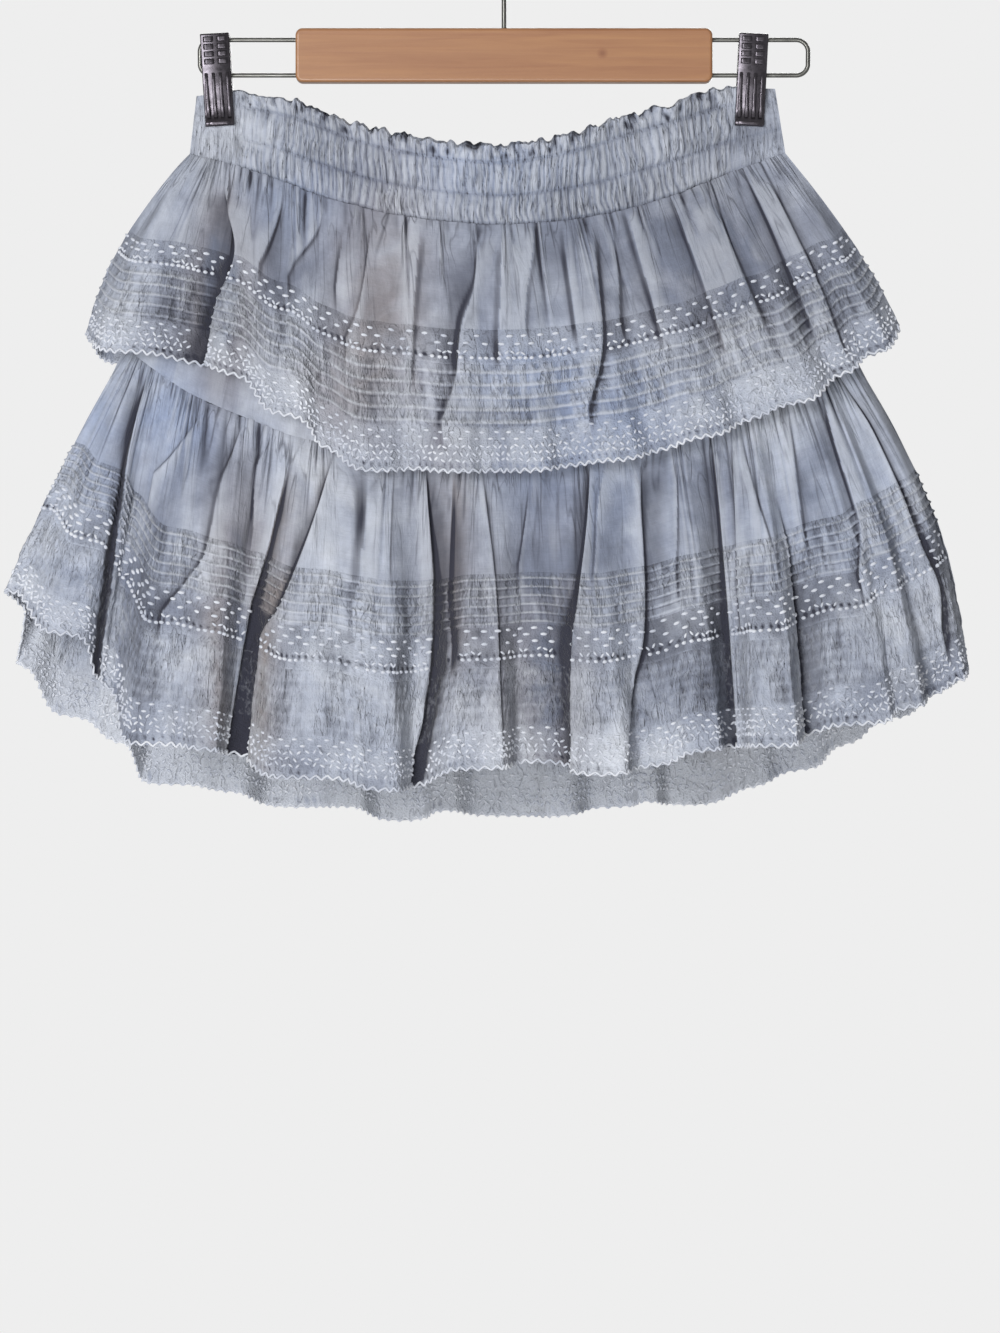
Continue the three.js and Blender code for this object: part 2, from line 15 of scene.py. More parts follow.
import bpy
import numpy as np
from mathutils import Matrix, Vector


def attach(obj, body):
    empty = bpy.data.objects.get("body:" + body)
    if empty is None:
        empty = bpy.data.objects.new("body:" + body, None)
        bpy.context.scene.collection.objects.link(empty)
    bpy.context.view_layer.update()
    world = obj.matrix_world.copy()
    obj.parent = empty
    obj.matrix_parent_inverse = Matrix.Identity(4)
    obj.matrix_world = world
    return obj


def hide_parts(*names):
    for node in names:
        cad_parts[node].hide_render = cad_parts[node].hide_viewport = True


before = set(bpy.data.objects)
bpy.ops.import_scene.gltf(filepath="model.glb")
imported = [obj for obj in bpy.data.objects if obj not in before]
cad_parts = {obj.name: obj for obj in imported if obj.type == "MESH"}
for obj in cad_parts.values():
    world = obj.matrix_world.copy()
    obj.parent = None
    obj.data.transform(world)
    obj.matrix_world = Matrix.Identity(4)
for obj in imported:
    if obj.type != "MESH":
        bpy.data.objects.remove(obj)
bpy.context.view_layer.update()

LOG = logging.getLogger("skirt")
MM = 0.001
SEAM_PLANE = 0.15
WAIST_LEFT, WAIST_RIGHT, WAIST_MIDDLE = -172.7, 154.6, -9.0
YOKE_LEFT, YOKE_RIGHT, YOKE_ROUNDNESS = -208.0, 190.0, 2.5
BACK_LIFT = 4.0
TOP_RUN = 0.34
FLARE = 0.8
CLIP_LEFT, CLIP_RIGHT = -157.5, 136.0


class Face(Enum):
    """The side of the skirt that a piece is cut for."""

    FRONT = -1
    BACK = 1

    @property
    def label(self) -> str:
        """The side's word in the pieces' names."""
        return self.name.lower()


class Weave(Enum):
    """How a band's cloth is made."""

    PLAIN = "plain"
    TUCKED = "tucked"
    NET = "net"
    GAUZE = "gauze"
    SHIRRED = "shirred"


class Tier(Enum):
    """Which of the two ruffles a piece belongs to."""

    UPPER = "upper"
    LOWER = "lower"


class Work(Enum):
    """The kinds of raised work on the lace."""

    DASH = "dash"
    KNOT = "knot"
    LEAF = "leaf"
    ZIGZAG = "zigzag"


class Tone(Enum):
    """Which way a patch leans. Blue and warm patches are tints of the mineral wash, and warm ones along the
    folds also give the painted shade there its brown. Dark patches darken the cloth: the wide ones in broad
    clouds, the tall narrow ones along the folds as painted shade.
    """

    BLUE = 0
    WARM = 1
    DEEP = 2


# The waistband's edge and lower seam, and how far it stands off on the front and on the back:
# topX, topZ, footX, footZ, front, back
WAIST_SECTIONS = (
    (-169, -99, -172.7, -131, 0, 0),
    (-146, -96.5, -147, -137.5, 0, 0),
    (-121, -100.5, -124, -145.5, 5, 3),
    (-104, -106, -104, -153.5, 9, 5),
    (-84, -114.5, -84, -159.5, 12, 6.5),
    (-60, -121, -59, -165.5, 15, 7.5),
    (-35, -125.5, -34, -169, 17, 8),
    (-2, -128.5, -2, -171, 18, 8),
    (26, -124, 25, -169.5, 17, 8),
    (47, -118.5, 50, -166, 15, 7.5),
    (68.5, -110.5, 74, -160.5, 12, 6.5),
    (97, -102.5, 100, -151.5, 7, 4),
    (125, -94.5, 125, -141, 0, 0),
    (149, -95, 154.6, -130.5, 0, 0),
)
# down, thickness
WAIST_THICKNESS = ((0, 1.4), (0.2, 1.5), (0.41, 2.4), (0.63, 1.7), (0.82, 2.5), (1, 2.7))
YOKE_SEAM = (
    (-208, -238),
    (-172, -263),
    (-140, -277),
    (-110, -288),
    (-60, -296),
    (0, -298),
    (60, -293),
    (100, -284),
    (150, -266),
    (190, -238),
)
YOKE_DEPTH = {Face.FRONT: 24.0, Face.BACK: 20.0}
# The ruffles' flutes: topX, hemX, hemZ, out, flat
UPPER_FRONT = (
    (-172.7, -230, -228.5, 0, 0),
    (-166, -206, -241, 27, 12),
    (-156, -165, -247, 23, 4),
    (-143, -146, -254, 36, 5),
    (-120, -119, -276, 41, 9),
    (-100, -97, -294, 36, 4),
    (-78, -72, -307, 45, 9),
    (-55, -49, -305, 39, 5),
    (-35, -26, -307.5, 46, 8),
    (-17, -6, -306.5, 41, 5),
    (1, 14, -307, 47, 9),
    (19, 37, -303.5, 41, 5),
    (38, 62, -301, 46, 9),
    (57, 87, -295, 39, 5),
    (76, 110, -288, 42, 9),
    (95, 135, -278, 34, 5),
    (115, 160, -269, 34, 9),
    (134, 186, -253, 22, 5),
    (146, 204, -240, 18, 6),
    (154.6, 217, -225, 0, 0),
)
UPPER_BACK = (
    (-172.7, -230, -228.5, 0, 0),
    (-160, -210, -245, 24, 9),
    (-140, -180, -262, 22, 6),
    (-118, -148, -279, 36, 10),
    (-96, -118, -293, 30, 6),
    (-72, -88, -303, 42, 10),
    (-48, -58, -308, 35, 5),
    (-26, -30, -311, 43, 9),
    (-6, -4, -311, 37, 5),
    (14, 22, -310, 43, 10),
    (36, 50, -306, 35, 6),
    (60, 82, -299, 41, 10),
    (84, 115, -287, 31, 6),
    (108, 150, -271, 33, 10),
    (130, 182, -253, 20, 6),
    (144, 202, -240, 16, 5),
    (154.6, 217, -225, 0, 0),
)
LOWER_FRONT = (
    (-208, -263, -382, 0, 0),
    (-205, -270, -370, 19, 3),
    (-197, -240, -395, 37, 10),
    (-188, -217, -424, 23, 2),
    (-168, -191, -455, 48, 14),
    (-146, -162, -458, 57, 6),
    (-127, -147, -460, 37, 5),
    (-100, -106, -473, 62, 22),
    (-64, -68, -480, 65, 9),
    (-40, -48, -478, 40, 3),
    (-14, -13, -468, 62, 14),
    (14, 19, -464.5, 43, 12),
    (42, 52, -471.5, 62, 12),
    (66, 82, -467, 47, 9),
    (92, 108, -458, 48, 9),
    (112, 126, -456, 32, 3),
    (130, 147, -456, 59, 11),
    (143, 165, -450, 37, 3),
    (157, 194, -444, 42, 16),
    (171, 220, -435, 35, 7),
    (177, 235, -429, 19, 3),
    (183, 249, -419, 18, 3),
    (190, 256, -412, 0, 0),
)
LOWER_BACK = (
    (-208, -263, -382, 0, 0),
    (-204, -266, -412, 19, 3),
    (-192, -240, -440, 33, 9),
    (-176, -213, -455, 25, 5),
    (-158, -187, -478, 47, 14),
    (-134, -152, -482, 36, 6),
    (-108, -118, -491, 56, 13),
    (-82, -86, -490, 43, 5),
    (-58, -57, -499, 60, 11),
    (-36, -33, -492, 45, 5),
    (-8, 0, -496, 60, 15),
    (18, 32, -496, 47, 5),
    (44, 61, -491, 60, 11),
    (62, 80, -487, 42, 4),
    (84, 105, -490, 57, 12),
    (106, 138, -480, 44, 6),
    (126, 165, -470, 50, 10),
    (144, 190, -456, 35, 6),
    (162, 216, -441, 36, 9),
    (176, 238, -426, 20, 4),
    (190, 256, -412, 0, 0),
)


@dataclass(frozen=True)
class Fold:
    """A fold or crease placed on the front, along a line of (x, down) points.

    Attributes:
        line: where it runs.
        height: how far its upper side stands over its lower one.
        lap: how far the upper side reaches over the lower one.
        high: 1 where its right side lies on top, -1 where its left side does.
        reach: how far to either side it shows, along the hem.
        warm: how brown the painted shade on its lower side is.
        gap: how wide the painted shade beside its upper side is.
        dark: how dark that painted shade is.
        open_at: the down below which the gap has its whole width.
    """

    line: tuple[tuple[float, float], ...]
    height: float
    lap: float
    high: int
    reach: float = 11.0
    warm: float = 0.3
    gap: float = 1.3
    dark: float = 0.8
    open_at: float = 0.58


UPPER_FOLDS = (
    Fold(((-154, 0.12), (-147, 0.4), (-156, 0.7), (-163, 0.97)), 6.0, 6.5, 1, 15.0, 1.0, 8.0, 1.1),
    Fold(((-151, 0.02), (-150, 0.3)), 2.2, 2.2, -1, 8.0, 0.6, 1.6, 1.0),
    Fold(((-120, 0.03), (-133, 0.4)), 2.4, 2.2, -1, 10.0, 0.5, 1.4, 0.8),
    Fold(((-98, 0.05), (-118, 0.4)), 1.8, 1.4, -1, 8.0, 0.3, 1.6, 0.9),
    Fold(((-88, 0.1), (-92, 0.34)), 1.6, 1.4, 1, 8.0, 0.3, 1.4, 0.8),
    Fold(((-70, 0.05), (-78, 0.33), (-86, 0.52)), 1.8, 1.5, 1, 9.0, 0.3, 1.5, 0.9),
    Fold(((-44, 0.02), (-49, 0.45), (-50, 0.6)), 1.8, 1.6, -1, 9.0, 0.3, 1.3, 0.8),
    Fold(((-13, 0.02), (-21, 0.35), (-26, 0.6), (-34, 0.8)), 2.8, 3.0, 1, 12.0, 0.2, 3.4, 0.62),
    Fold(((-1.5, 0.0), (-3.5, 0.5)), 2.0, 1.8, 1, 9.0, 0.2, 1.5, 0.9),
    Fold(((17.5, 0.02), (12, 0.42)), 1.5, 1.2, -1, 8.0, 0.2, 1.2, 0.8),
    Fold(((31, 0.02), (38, 0.42)), 1.5, 1.2, 1, 8.0, 0.2, 1.4, 0.85),
    Fold(((49, 0.02), (54, 0.45), (46, 0.78)), 2.4, 2.4, -1, 10.0, 0.3, 1.6, 0.9),
    Fold(((58, 0.02), (64, 0.45)), 1.8, 1.6, -1, 9.0, 0.3, 1.3, 0.8),
    Fold(((66, 0.02), (84, 0.5)), 2.2, 2.2, 1, 10.0, 0.4, 1.6, 0.9),
    Fold(((92, 0.02), (118, 0.62)), 2.4, 2.4, 1, 12.0, 0.7, 2.0, 0.8),
    Fold(((111, 0.02), (140, 0.6)), 2.2, 2.0, -1, 11.0, 0.7, 1.6, 0.8),
    Fold(((132, 0.02), (166, 0.7)), 2.4, 2.2, 1, 11.0, 0.3, 1.5, 0.8),
    Fold(((143, 0.05), (184, 0.85)), 2.6, 2.4, -1, 11.0, 0.3, 1.5, 0.7),
)
LOWER_FOLDS = (
    Fold(((-195, 0.02), (-205, 0.3), (-210, 0.5), (-221, 0.98)), 5.0, 6.0, 1, 13.0, 0.2, 5.5, 1.3, 0.24),
    Fold(((-156, 0.0), (-191, 0.28)), 2.0, 1.8, 1, 8.0, 0.1, 1.3, 0.8),
    Fold(((-140, 0.0), (-154, 0.2), (-163, 0.43), (-186, 0.62)), 2.2, 2.0, 1, 9.0, 0.1, 1.4, 0.85),
    Fold(((-125, 0.0), (-136, 0.14), (-137, 0.31)), 1.6, 1.4, 1, 8.0, 0.1, 1.2, 0.7),
    Fold(((-117, 0.08), (-127, 0.33), (-138, 0.55), (-151, 0.99)), 4.0, 4.5, -1, 10.0, 1.0, 7.0, 0.95),
    Fold(
        ((-93, 0.03), (-110, 0.33), (-123, 0.52), (-132, 0.63), (-138, 0.99)),
        3.5,
        3.5,
        1,
        9.0,
        1.0,
        4.0,
        0.95,
    ),
    Fold(((-74, 0.05), (-79, 0.37), (-83, 0.48)), 1.8, 1.6, 1, 9.0, 0.1, 1.4, 0.85),
    Fold(((-60, 0.02), (-62, 0.3)), 1.5, 1.3, -1, 8.0, 0.2, 1.2, 0.7),
    Fold(((-43, 0.02), (-38, 0.45), (-39, 0.6), (-50, 0.93)), 5.0, 5.5, -1, 12.0, 0.5, 8.0, 1.3),
    Fold(((-27, 0.03), (-30, 0.42), (-28, 0.6)), 2.4, 2.2, -1, 8.0, 0.8, 3.6, 0.75),
    Fold(((-12, 0.02), (-4, 0.45), (0, 0.99)), 2.6, 2.6, -1, 10.0, 0.3, 1.6, 0.5),
    Fold(((14, 0.06), (8, 0.35)), 1.6, 1.4, 1, 8.0, 0.1, 1.4, 0.8),
    Fold(((47, 0.02), (41, 0.42), (38, 0.6), (37, 0.96)), 5.0, 5.5, 1, 13.0, 1.0, 9.0, 1.2),
    Fold(((56, 0.02), (49, 0.4)), 1.8, 1.5, 1, 8.0, 0.1, 1.4, 0.9),
    Fold(((77, 0.02), (76, 0.6), (68, 0.8), (66, 0.99)), 3.6, 4.0, -1, 11.0, 0.2, 1.6, 0.6),
    Fold(((93, 0.02), (94, 0.42)), 1.8, 1.5, -1, 8.0, 0.1, 1.2, 0.8),
    Fold(((113, 0.02), (121, 0.5), (127, 0.99)), 4.2, 4.5, 1, 11.0, 0.3, 2.6, 0.8),
    Fold(((124, 0.02), (128, 0.55)), 2.4, 2.2, 1, 8.0, 0.3, 1.8, 1.1),
    Fold(((128, 0.02), (139, 0.28), (148, 0.45)), 1.8, 1.5, -1, 8.0, 0.2, 1.2, 0.75),
    Fold(((155, 0.03), (159, 0.2), (163, 0.38)), 1.6, 1.4, -1, 8.0, 0.1, 1.2, 0.7),
    Fold(((150, 0.3), (162, 0.99)), 4.6, 5.0, -1, 11.0, 0.2, 2.4, 0.7),
    Fold(((172, 0.02), (184, 0.26), (193, 0.42), (193, 0.56)), 2.2, 2.0, 1, 9.0, 0.2, 1.5, 0.9),
    Fold(((183, 0.04), (202, 0.22), (227, 0.55), (238, 0.7), (240, 0.84)), 3.2, 3.0, -1, 9.0, 0.3, 2.2, 1.05),
)


@dataclass(frozen=True)
class Patch:
    """A cloud of colour on the front, a tint of the wash in most places and painted shade along the folds:
    its middle, half sizes, tone and strength.
    """

    x: float
    z: float
    wide: float
    tall: float
    tone: Tone
    amount: float


# The tall narrow dark and warm patches lie along the deepest folds and are painted shade, brown-black there;
# the wide ones are broad clouds of tint and of darker colour.
PATCHES = (
    Patch(-155, -208, 9, 36, Tone.DEEP, 1.0),
    Patch(-155, -208, 12, 40, Tone.WARM, 1.0),
    Patch(-145, -395, 9, 62, Tone.DEEP, 1.0),
    Patch(-145, -395, 12, 66, Tone.WARM, 1.0),
    Patch(18, -400, 20, 56, Tone.DEEP, 0.6),
    Patch(28, -420, 12, 40, Tone.DEEP, 0.8),
    Patch(28, -420, 13, 44, Tone.WARM, 0.9),
    Patch(115, -420, 13, 38, Tone.DEEP, 0.6),
    Patch(-205, -370, 12, 70, Tone.DEEP, 0.7),
    Patch(158, -420, 10, 50, Tone.DEEP, 0.4),
    Patch(20, -205, 120, 34, Tone.DEEP, 0.42),
    Patch(95, -185, 46, 34, Tone.DEEP, 0.6),
    Patch(75, -145, 95, 44, Tone.DEEP, 0.34),
    Patch(30, -345, 120, 30, Tone.DEEP, 0.24),
    Patch(-120, -125, 44, 20, Tone.DEEP, 0.3),
    Patch(175, -215, 34, 36, Tone.DEEP, 0.4),
    Patch(70, -340, 36, 34, Tone.DEEP, 0.35),
    Patch(-66, -205, 26, 60, Tone.WARM, 0.85),
    Patch(-150, -215, 16, 45, Tone.WARM, 0.7),
    Patch(-150, -205, 45, 55, Tone.DEEP, 0.35),
    Patch(118, -190, 40, 34, Tone.WARM, 0.6),
    Patch(120, -188, 48, 40, Tone.DEEP, 0.3),
    Patch(-95, -262, 22, 26, Tone.WARM, 0.55),
    Patch(40, -330, 34, 34, Tone.BLUE, 0.9),
    Patch(32, -345, 30, 42, Tone.DEEP, 0.35),
    Patch(-190, -275, 34, 28, Tone.BLUE, 0.6),
    Patch(-135, -275, 45, 22, Tone.BLUE, 0.3),
    Patch(-225, -320, 24, 50, Tone.BLUE, 0.35),
    Patch(-120, -160, 40, 20, Tone.BLUE, 0.4),
    Patch(-20, -140, 60, 16, Tone.BLUE, 0.5),
    Patch(10, -250, 50, 20, Tone.BLUE, 0.35),
    Patch(180, -330, 45, 30, Tone.BLUE, 0.35),
    Patch(15, -400, 22, 50, Tone.WARM, 0.6),
    Patch(-143, -410, 16, 60, Tone.WARM, 0.8),
    Patch(-30, -340, 16, 60, Tone.WARM, 0.35),
    Patch(60, -270, 40, 22, Tone.BLUE, 0.4),
)


class SmoothCurve:
    """A smooth curve through points that doesn't overshoot them."""

    def __init__(self, xs: Sequence[float], ys: Sequence[float]) -> None:
        """Works out the curve's slope at each point.

        Args:
            xs: rising places of the points.
            ys: their values.
        """
        self.xs = np.asarray(xs, float)
        self.ys = np.asarray(ys, float)
        slopes = np.diff(self.ys) / np.diff(self.xs)
        before = np.concatenate([slopes[:1], slopes])
        after = np.concatenate([slopes, slopes[-1:]])
        total = np.where(before + after == 0, 1, before + after)
        self.tangents = np.where(before * after <= 0, 0, 2 * before * after / total)

    def __call__(self, x: np.ndarray | float) -> np.ndarray:
        """The curve's value at x.

        Args:
            x: a place, or an array of them.

        Returns:
            The values, with the ends' values outside the curve.
        """
        x = np.asarray(x, float)
        i = np.searchsorted(self.xs[1:-1], x)
        step = self.xs[i + 1] - self.xs[i]
        t = np.clip((x - self.xs[i]) / step, 0, 1)
        s = 1 - t
        ends = self.ys[i] * s * s * (1 + 2 * t) + self.ys[i + 1] * t * t * (1 + 2 * s)
        return ends + step * t * s * (self.tangents[i] * s - self.tangents[i + 1] * t)


def softened(curve: SmoothCurve, length: float, width: float) -> SmoothCurve:
    """A curve with its steps rounded off.

    Args:
        curve: the curve.
        length: how far it runs.
        width: how far the rounding reaches.

    Returns:
        The softer curve, with the same ends.
    """
    places = np.linspace(0, length, round(length / 3))
    away = places[:, None] - places[None, :]
    reach = np.minimum(width, np.minimum(places, length - places) / 2 + 0.01)[:, None]
    weight = np.exp(-0.5 * (away / reach) ** 2)
    return SmoothCurve(places, (weight * curve(places)[None, :]).sum(1) / weight.sum(1))


def column_curve(rows: Sequence[Sequence[float]], key: int, value: int) -> SmoothCurve:
    """One column of a table as a curve of another.

    Args:
        rows: the table.
        key: the column that the curve runs along.
        value: the column that it gives.

    Returns:
        The curve.
    """
    return SmoothCurve([row[key] for row in rows], [row[value] for row in rows])


def smooth_step(low: float, high: float, x: np.ndarray) -> np.ndarray:
    """A soft step from 0 at low to 1 at high.

    Args:
        low: where it starts.
        high: where it ends.
        x: the places.

    Returns:
        The step at each place.
    """
    t = np.clip((x - low) / (high - low), 0, 1)
    return t * t * (3 - 2 * t)


class Crumple:
    """Smooth seeded noise over a plane, between -1 and 1."""

    SIDE = 128

    def __init__(self, seed: int) -> None:
        """Draws the noise's table.

        Args:
            seed: picks the table, so each run gives the same one.
        """
        self.table = np.random.default_rng(seed).uniform(-1, 1, (self.SIDE, self.SIDE))

    def __call__(self, u: np.ndarray, v: np.ndarray | float) -> np.ndarray:
        """The noise at points of the plane.

        Args:
            u: places across, in cells.
            v: places down, in cells.

        Returns:
            The noise at each point.
        """
        u, v = np.broadcast_arrays(np.asarray(u, float), np.asarray(v, float))
        iu, iv = np.floor(u).astype(int), np.floor(v).astype(int)
        fu, fv = u - iu, v - iv
        fu, fv = fu * fu * (3 - 2 * fu), fv * fv * (3 - 2 * fv)
        side = self.SIDE
        a, b = self.table[iv % side, iu % side], self.table[iv % side, (iu + 1) % side]
        c, d = self.table[(iv + 1) % side, iu % side], self.table[(iv + 1) % side, (iu + 1) % side]
        return (a * (1 - fu) + b * fu) * (1 - fv) + (c * (1 - fu) + d * fu) * fv


def back_lift(face: Face, x: np.ndarray) -> np.ndarray:
    """How much higher the back of the waist hangs than the front.

    Args:
        face: the side of the skirt.
        x: places across.

    Returns:
        The lift at each place.
    """
    across = (x - WAIST_MIDDLE) / (WAIST_RIGHT - WAIST_MIDDLE)
    return BACK_LIFT * np.maximum(0, 1 - across**2) * (face is Face.BACK)


class WaistCloth:
    """The waistband's outer surface, along its lower seam and down from its edge."""

    def __init__(self, face: Face) -> None:
        """Reads the waistband's table.

        Args:
            face: the side of the skirt.
        """
        self.face = face
        self.length = WAIST_RIGHT - WAIST_LEFT
        self.top_x = column_curve(WAIST_SECTIONS, 2, 0)
        self.top_z = column_curve(WAIST_SECTIONS, 2, 1)
        self.foot_z = column_curve(WAIST_SECTIONS, 2, 3)
        self.out = column_curve(WAIST_SECTIONS, 2, 4 if face is Face.FRONT else 5)
        self.thick = column_curve(WAIST_THICKNESS, 0, 1)

    def seam_z(self, x: np.ndarray) -> np.ndarray:
        """The lower seam's height at x."""
        return self.foot_z(x) + back_lift(self.face, x)

    def at(self, place: np.ndarray, down: np.ndarray) -> np.ndarray:
        """Points of the surface.

        Args:
            place: along the lower seam, from the left.
            down: from the edge to the lower seam.

        Returns:
            The points, a row of x, y, z for each.
        """
        x = WAIST_LEFT + place
        z = (self.top_z(x) + back_lift(self.face, x)) * (1 - down) + self.seam_z(x) * down
        y = self.face.value * (SEAM_PLANE + self.out(x) + self.thick(down))
        return np.stack(np.broadcast_arrays(self.top_x(x) * (1 - down) + x * down, y, z), -1)


def yoke_out(face: Face, x: np.ndarray) -> np.ndarray:
    """How far the yoke's lower seam stands off the side seams' plane, a flat oval from above.

    Args:
        face: the side of the skirt.
        x: places across.

    Returns:
        The distance at each place.
    """
    half = (YOKE_RIGHT - YOKE_LEFT) / 2
    across = np.minimum(1, np.abs(x - (YOKE_LEFT + half)) / half)
    return YOKE_DEPTH[face] * (1 - across**YOKE_ROUNDNESS) ** (1 / YOKE_ROUNDNESS)


YOKE_SEAM_Z = column_curve(YOKE_SEAM, 0, 1)


@dataclass(frozen=True)
class Swell:
    """How far a ruffle's outline bows out at its two sides."""

    left: float
    right: float


class RuffleCloth:
    """A ruffle's outer surface, along its hem and down from its seam."""

    def __init__(self, face: Face, flutes: Sequence[Sequence[float]], swell: Swell, upper: bool) -> None:
        """Lays the flutes along the hem.

        Args:
            face: the side of the skirt.
            flutes: the flutes' table.
            swell: how its sides bow out.
            upper: whether it hangs from the waist seam.
        """
        self.face = face
        self.swell = swell
        self.upper = upper
        self.waist = WaistCloth(face)
        stations = [
            (top + end * flat * TOP_RUN, hem + end * flat, z, out)
            for top, hem, z, out, flat in flutes
            for end in ((-1, 1) if flat else (0,))
        ]
        table = np.array(stations, float)
        runs = np.sqrt((np.diff(table[:, 1:], axis=0) ** 2).sum(1))
        along = np.concatenate([[0], np.cumsum(runs)])
        self.length = float(along[-1])
        self.top_x, self.hem_x, hem_z, self.out = (SmoothCurve(along, table[:, c]) for c in range(4))
        self.hem_z = softened(hem_z, self.length, 9.0)

    def at(self, place: np.ndarray, down: np.ndarray) -> np.ndarray:
        """Points of the surface.

        Args:
            place: along the hem, from the left.
            down: from the seam to the hem.

        Returns:
            The points, a row of x, y, z for each.
        """
        share = np.clip(place / self.length, 0, 1)
        top_x = self.top_x(place)
        if self.upper:
            top_y, top_z = self.waist.out(top_x) + 3, self.waist.seam_z(top_x)
        else:
            top_y, top_z = yoke_out(self.face, top_x), YOKE_SEAM_Z(top_x)
        push = self.swell.right * share**6 - self.swell.left * (1 - share) ** 6
        x = top_x * (1 - down) + self.hem_x(place) * down + push * np.sin(np.pi * down)
        y = top_y + (self.out(place) - top_y) * np.maximum(down, 0) ** FLARE
        z = top_z * (1 - down) + self.hem_z(place) * down
        return np.stack(np.broadcast_arrays(x, self.face.value * (SEAM_PLANE + y), z), -1)

    def place_of(self, x: float, down: float) -> float:
        """The place along the hem of a point seen from the front.

        Args:
            x: its place across.
            down: its height.

        Returns:
            The place.
        """
        places = np.linspace(0, self.length, 1200)
        seen = self.at(places, np.full_like(places, down))[:, 0]
        return float(np.interp(x, np.maximum.accumulate(seen), places))


class YokeCloth:
    """The plain yoke's outer surface, from the waist seam to the lower tier."""

    def __init__(self, face: Face) -> None:
        """Keeps the side and the waist it hangs from.

        Args:
            face: the side of the skirt.
        """
        self.face = face
        self.waist = WaistCloth(face)
        self.length = YOKE_RIGHT - YOKE_LEFT

    def at(self, place: np.ndarray, down: np.ndarray) -> np.ndarray:
        """Points of the surface.

        Args:
            place: along its lower seam, from the left.
            down: from the waist seam to the lower seam.

        Returns:
            The points, a row of x, y, z for each.
        """
        foot_x = YOKE_LEFT + place
        top_x = WAIST_LEFT + place * (WAIST_RIGHT - WAIST_LEFT) / self.length
        y = (self.waist.out(top_x) + 1) * (1 - down) + yoke_out(self.face, foot_x) * down
        z = self.waist.seam_z(top_x) * (1 - down) + YOKE_SEAM_Z(foot_x) * down
        x = top_x * (1 - down) + foot_x * down
        return np.stack(np.broadcast_arrays(x, self.face.value * (SEAM_PLANE + y), z), -1)


Cloth = WaistCloth | RuffleCloth | YokeCloth


@dataclass
class Relief:
    """What is added to a cloth surface on a grid: a lift out of it, a slide along it, shade, which is mostly
    painted shade less painted light and paler bands, and warm, the brown painted into the folds' shade.
    """

    lift: np.ndarray
    slide: np.ndarray
    shade: np.ndarray
    warm: np.ndarray

    @classmethod
    def flat(cls, places: np.ndarray, downs: np.ndarray) -> "Relief":
        """An empty relief for the grid of downs by places."""
        return cls(*(np.zeros((len(downs), len(places))) for _ in range(4)))


@dataclass
class Skin:
    """A fine cloth surface: its grid of points, normals and what the finish reads there."""

    places: np.ndarray
    downs: np.ndarray
    points: np.ndarray
    normals: np.ndarray
    relief: Relief

    @classmethod
    def over(cls, cloth: Cloth, places: np.ndarray, downs: np.ndarray, relief: Relief) -> "Skin":
        """Lays a relief over a cloth surface.

        Args:
            cloth: the surface.
            places: the grid's places along it.
            downs: the grid's heights.
            relief: the relief on that grid.

        Returns:
            The skin.
        """
        small = 0.002
        place = np.clip(places[None, :] + relief.slide, 0, cloth.length)
        down = np.broadcast_to(downs[:, None], place.shape)
        low, high = np.clip(place - 1.5, 0, cloth.length), np.clip(place + 1.5, 0, cloth.length)
        along = cloth.at(high, down) - cloth.at(low, down)
        drop = cloth.at(place, down + small) - cloth.at(place, np.maximum(0, down - small))
        normal = np.cross(along, drop)
        normal /= np.linalg.norm(normal, axis=-1, keepdims=True) + 1e-9
        normal *= np.sign(np.sum(normal * (0, cloth.face.value, 0), -1, keepdims=True) + 1e-9)
        points = cloth.at(place, down) + normal * relief.lift[..., None]
        side = cloth.face.value
        points[..., 1] = side * np.maximum(side * points[..., 1], SEAM_PLANE)
        return cls(places, downs, points, normal, relief)

    def shade_at(self, place: np.ndarray, down: np.ndarray) -> np.ndarray:
        """How deep in a fold's shade places on the skin lie.

        Args:
            place: places along it.
            down: heights on it.

        Returns:
            The shade at each place.
        """
        column = np.searchsorted(self.places, place).clip(0, len(self.places) - 1)
        row = np.searchsorted(self.downs, down).clip(0, len(self.downs) - 1)
        return self.relief.shade[row, column]

    def frames(self, place: np.ndarray, down: np.ndarray) -> tuple[np.ndarray, ...]:
        """Points on the skin with their directions.

        Args:
            place: places along it.
            down: heights on it.

        Returns:
            The points, and unit directions along, down and out of the cloth.
        """
        column = np.interp(place, self.places, np.arange(len(self.places)))
        row = np.interp(down, self.downs, np.arange(len(self.downs)))
        c = np.clip(column.astype(int), 0, len(self.places) - 2)
        r = np.clip(row.astype(int), 0, len(self.downs) - 2)
        fc, fr = (column - c)[:, None], (row - r)[:, None]
        a, b, d, e = (self.points[r + i, c + j] for i in (0, 1) for j in (0, 1))
        point = (a * (1 - fc) + b * fc) * (1 - fr) + (d * (1 - fc) + e * fc) * fr
        wide = np.clip(c + 2, 0, len(self.places) - 1)
        near = np.clip(c - 2, 0, len(self.places) - 1)
        along = self.points[r, wide] - self.points[r, near]
        along /= np.linalg.norm(along, axis=1, keepdims=True) + 1e-9
        deep = np.clip(r + 2, 0, len(self.downs) - 1)
        shallow = np.clip(r - 2, 0, len(self.downs) - 1)
        drop = self.points[deep, c] - self.points[shallow, c]
        drop -= along * np.sum(drop * along, 1, keepdims=True)
        drop /= np.linalg.norm(drop, axis=1, keepdims=True) + 1e-9
        out = np.cross(along, drop)
        out *= np.sign(np.sum(out * self.normals[r, c], 1, keepdims=True) + 1e-9)
        return point, along, drop, out


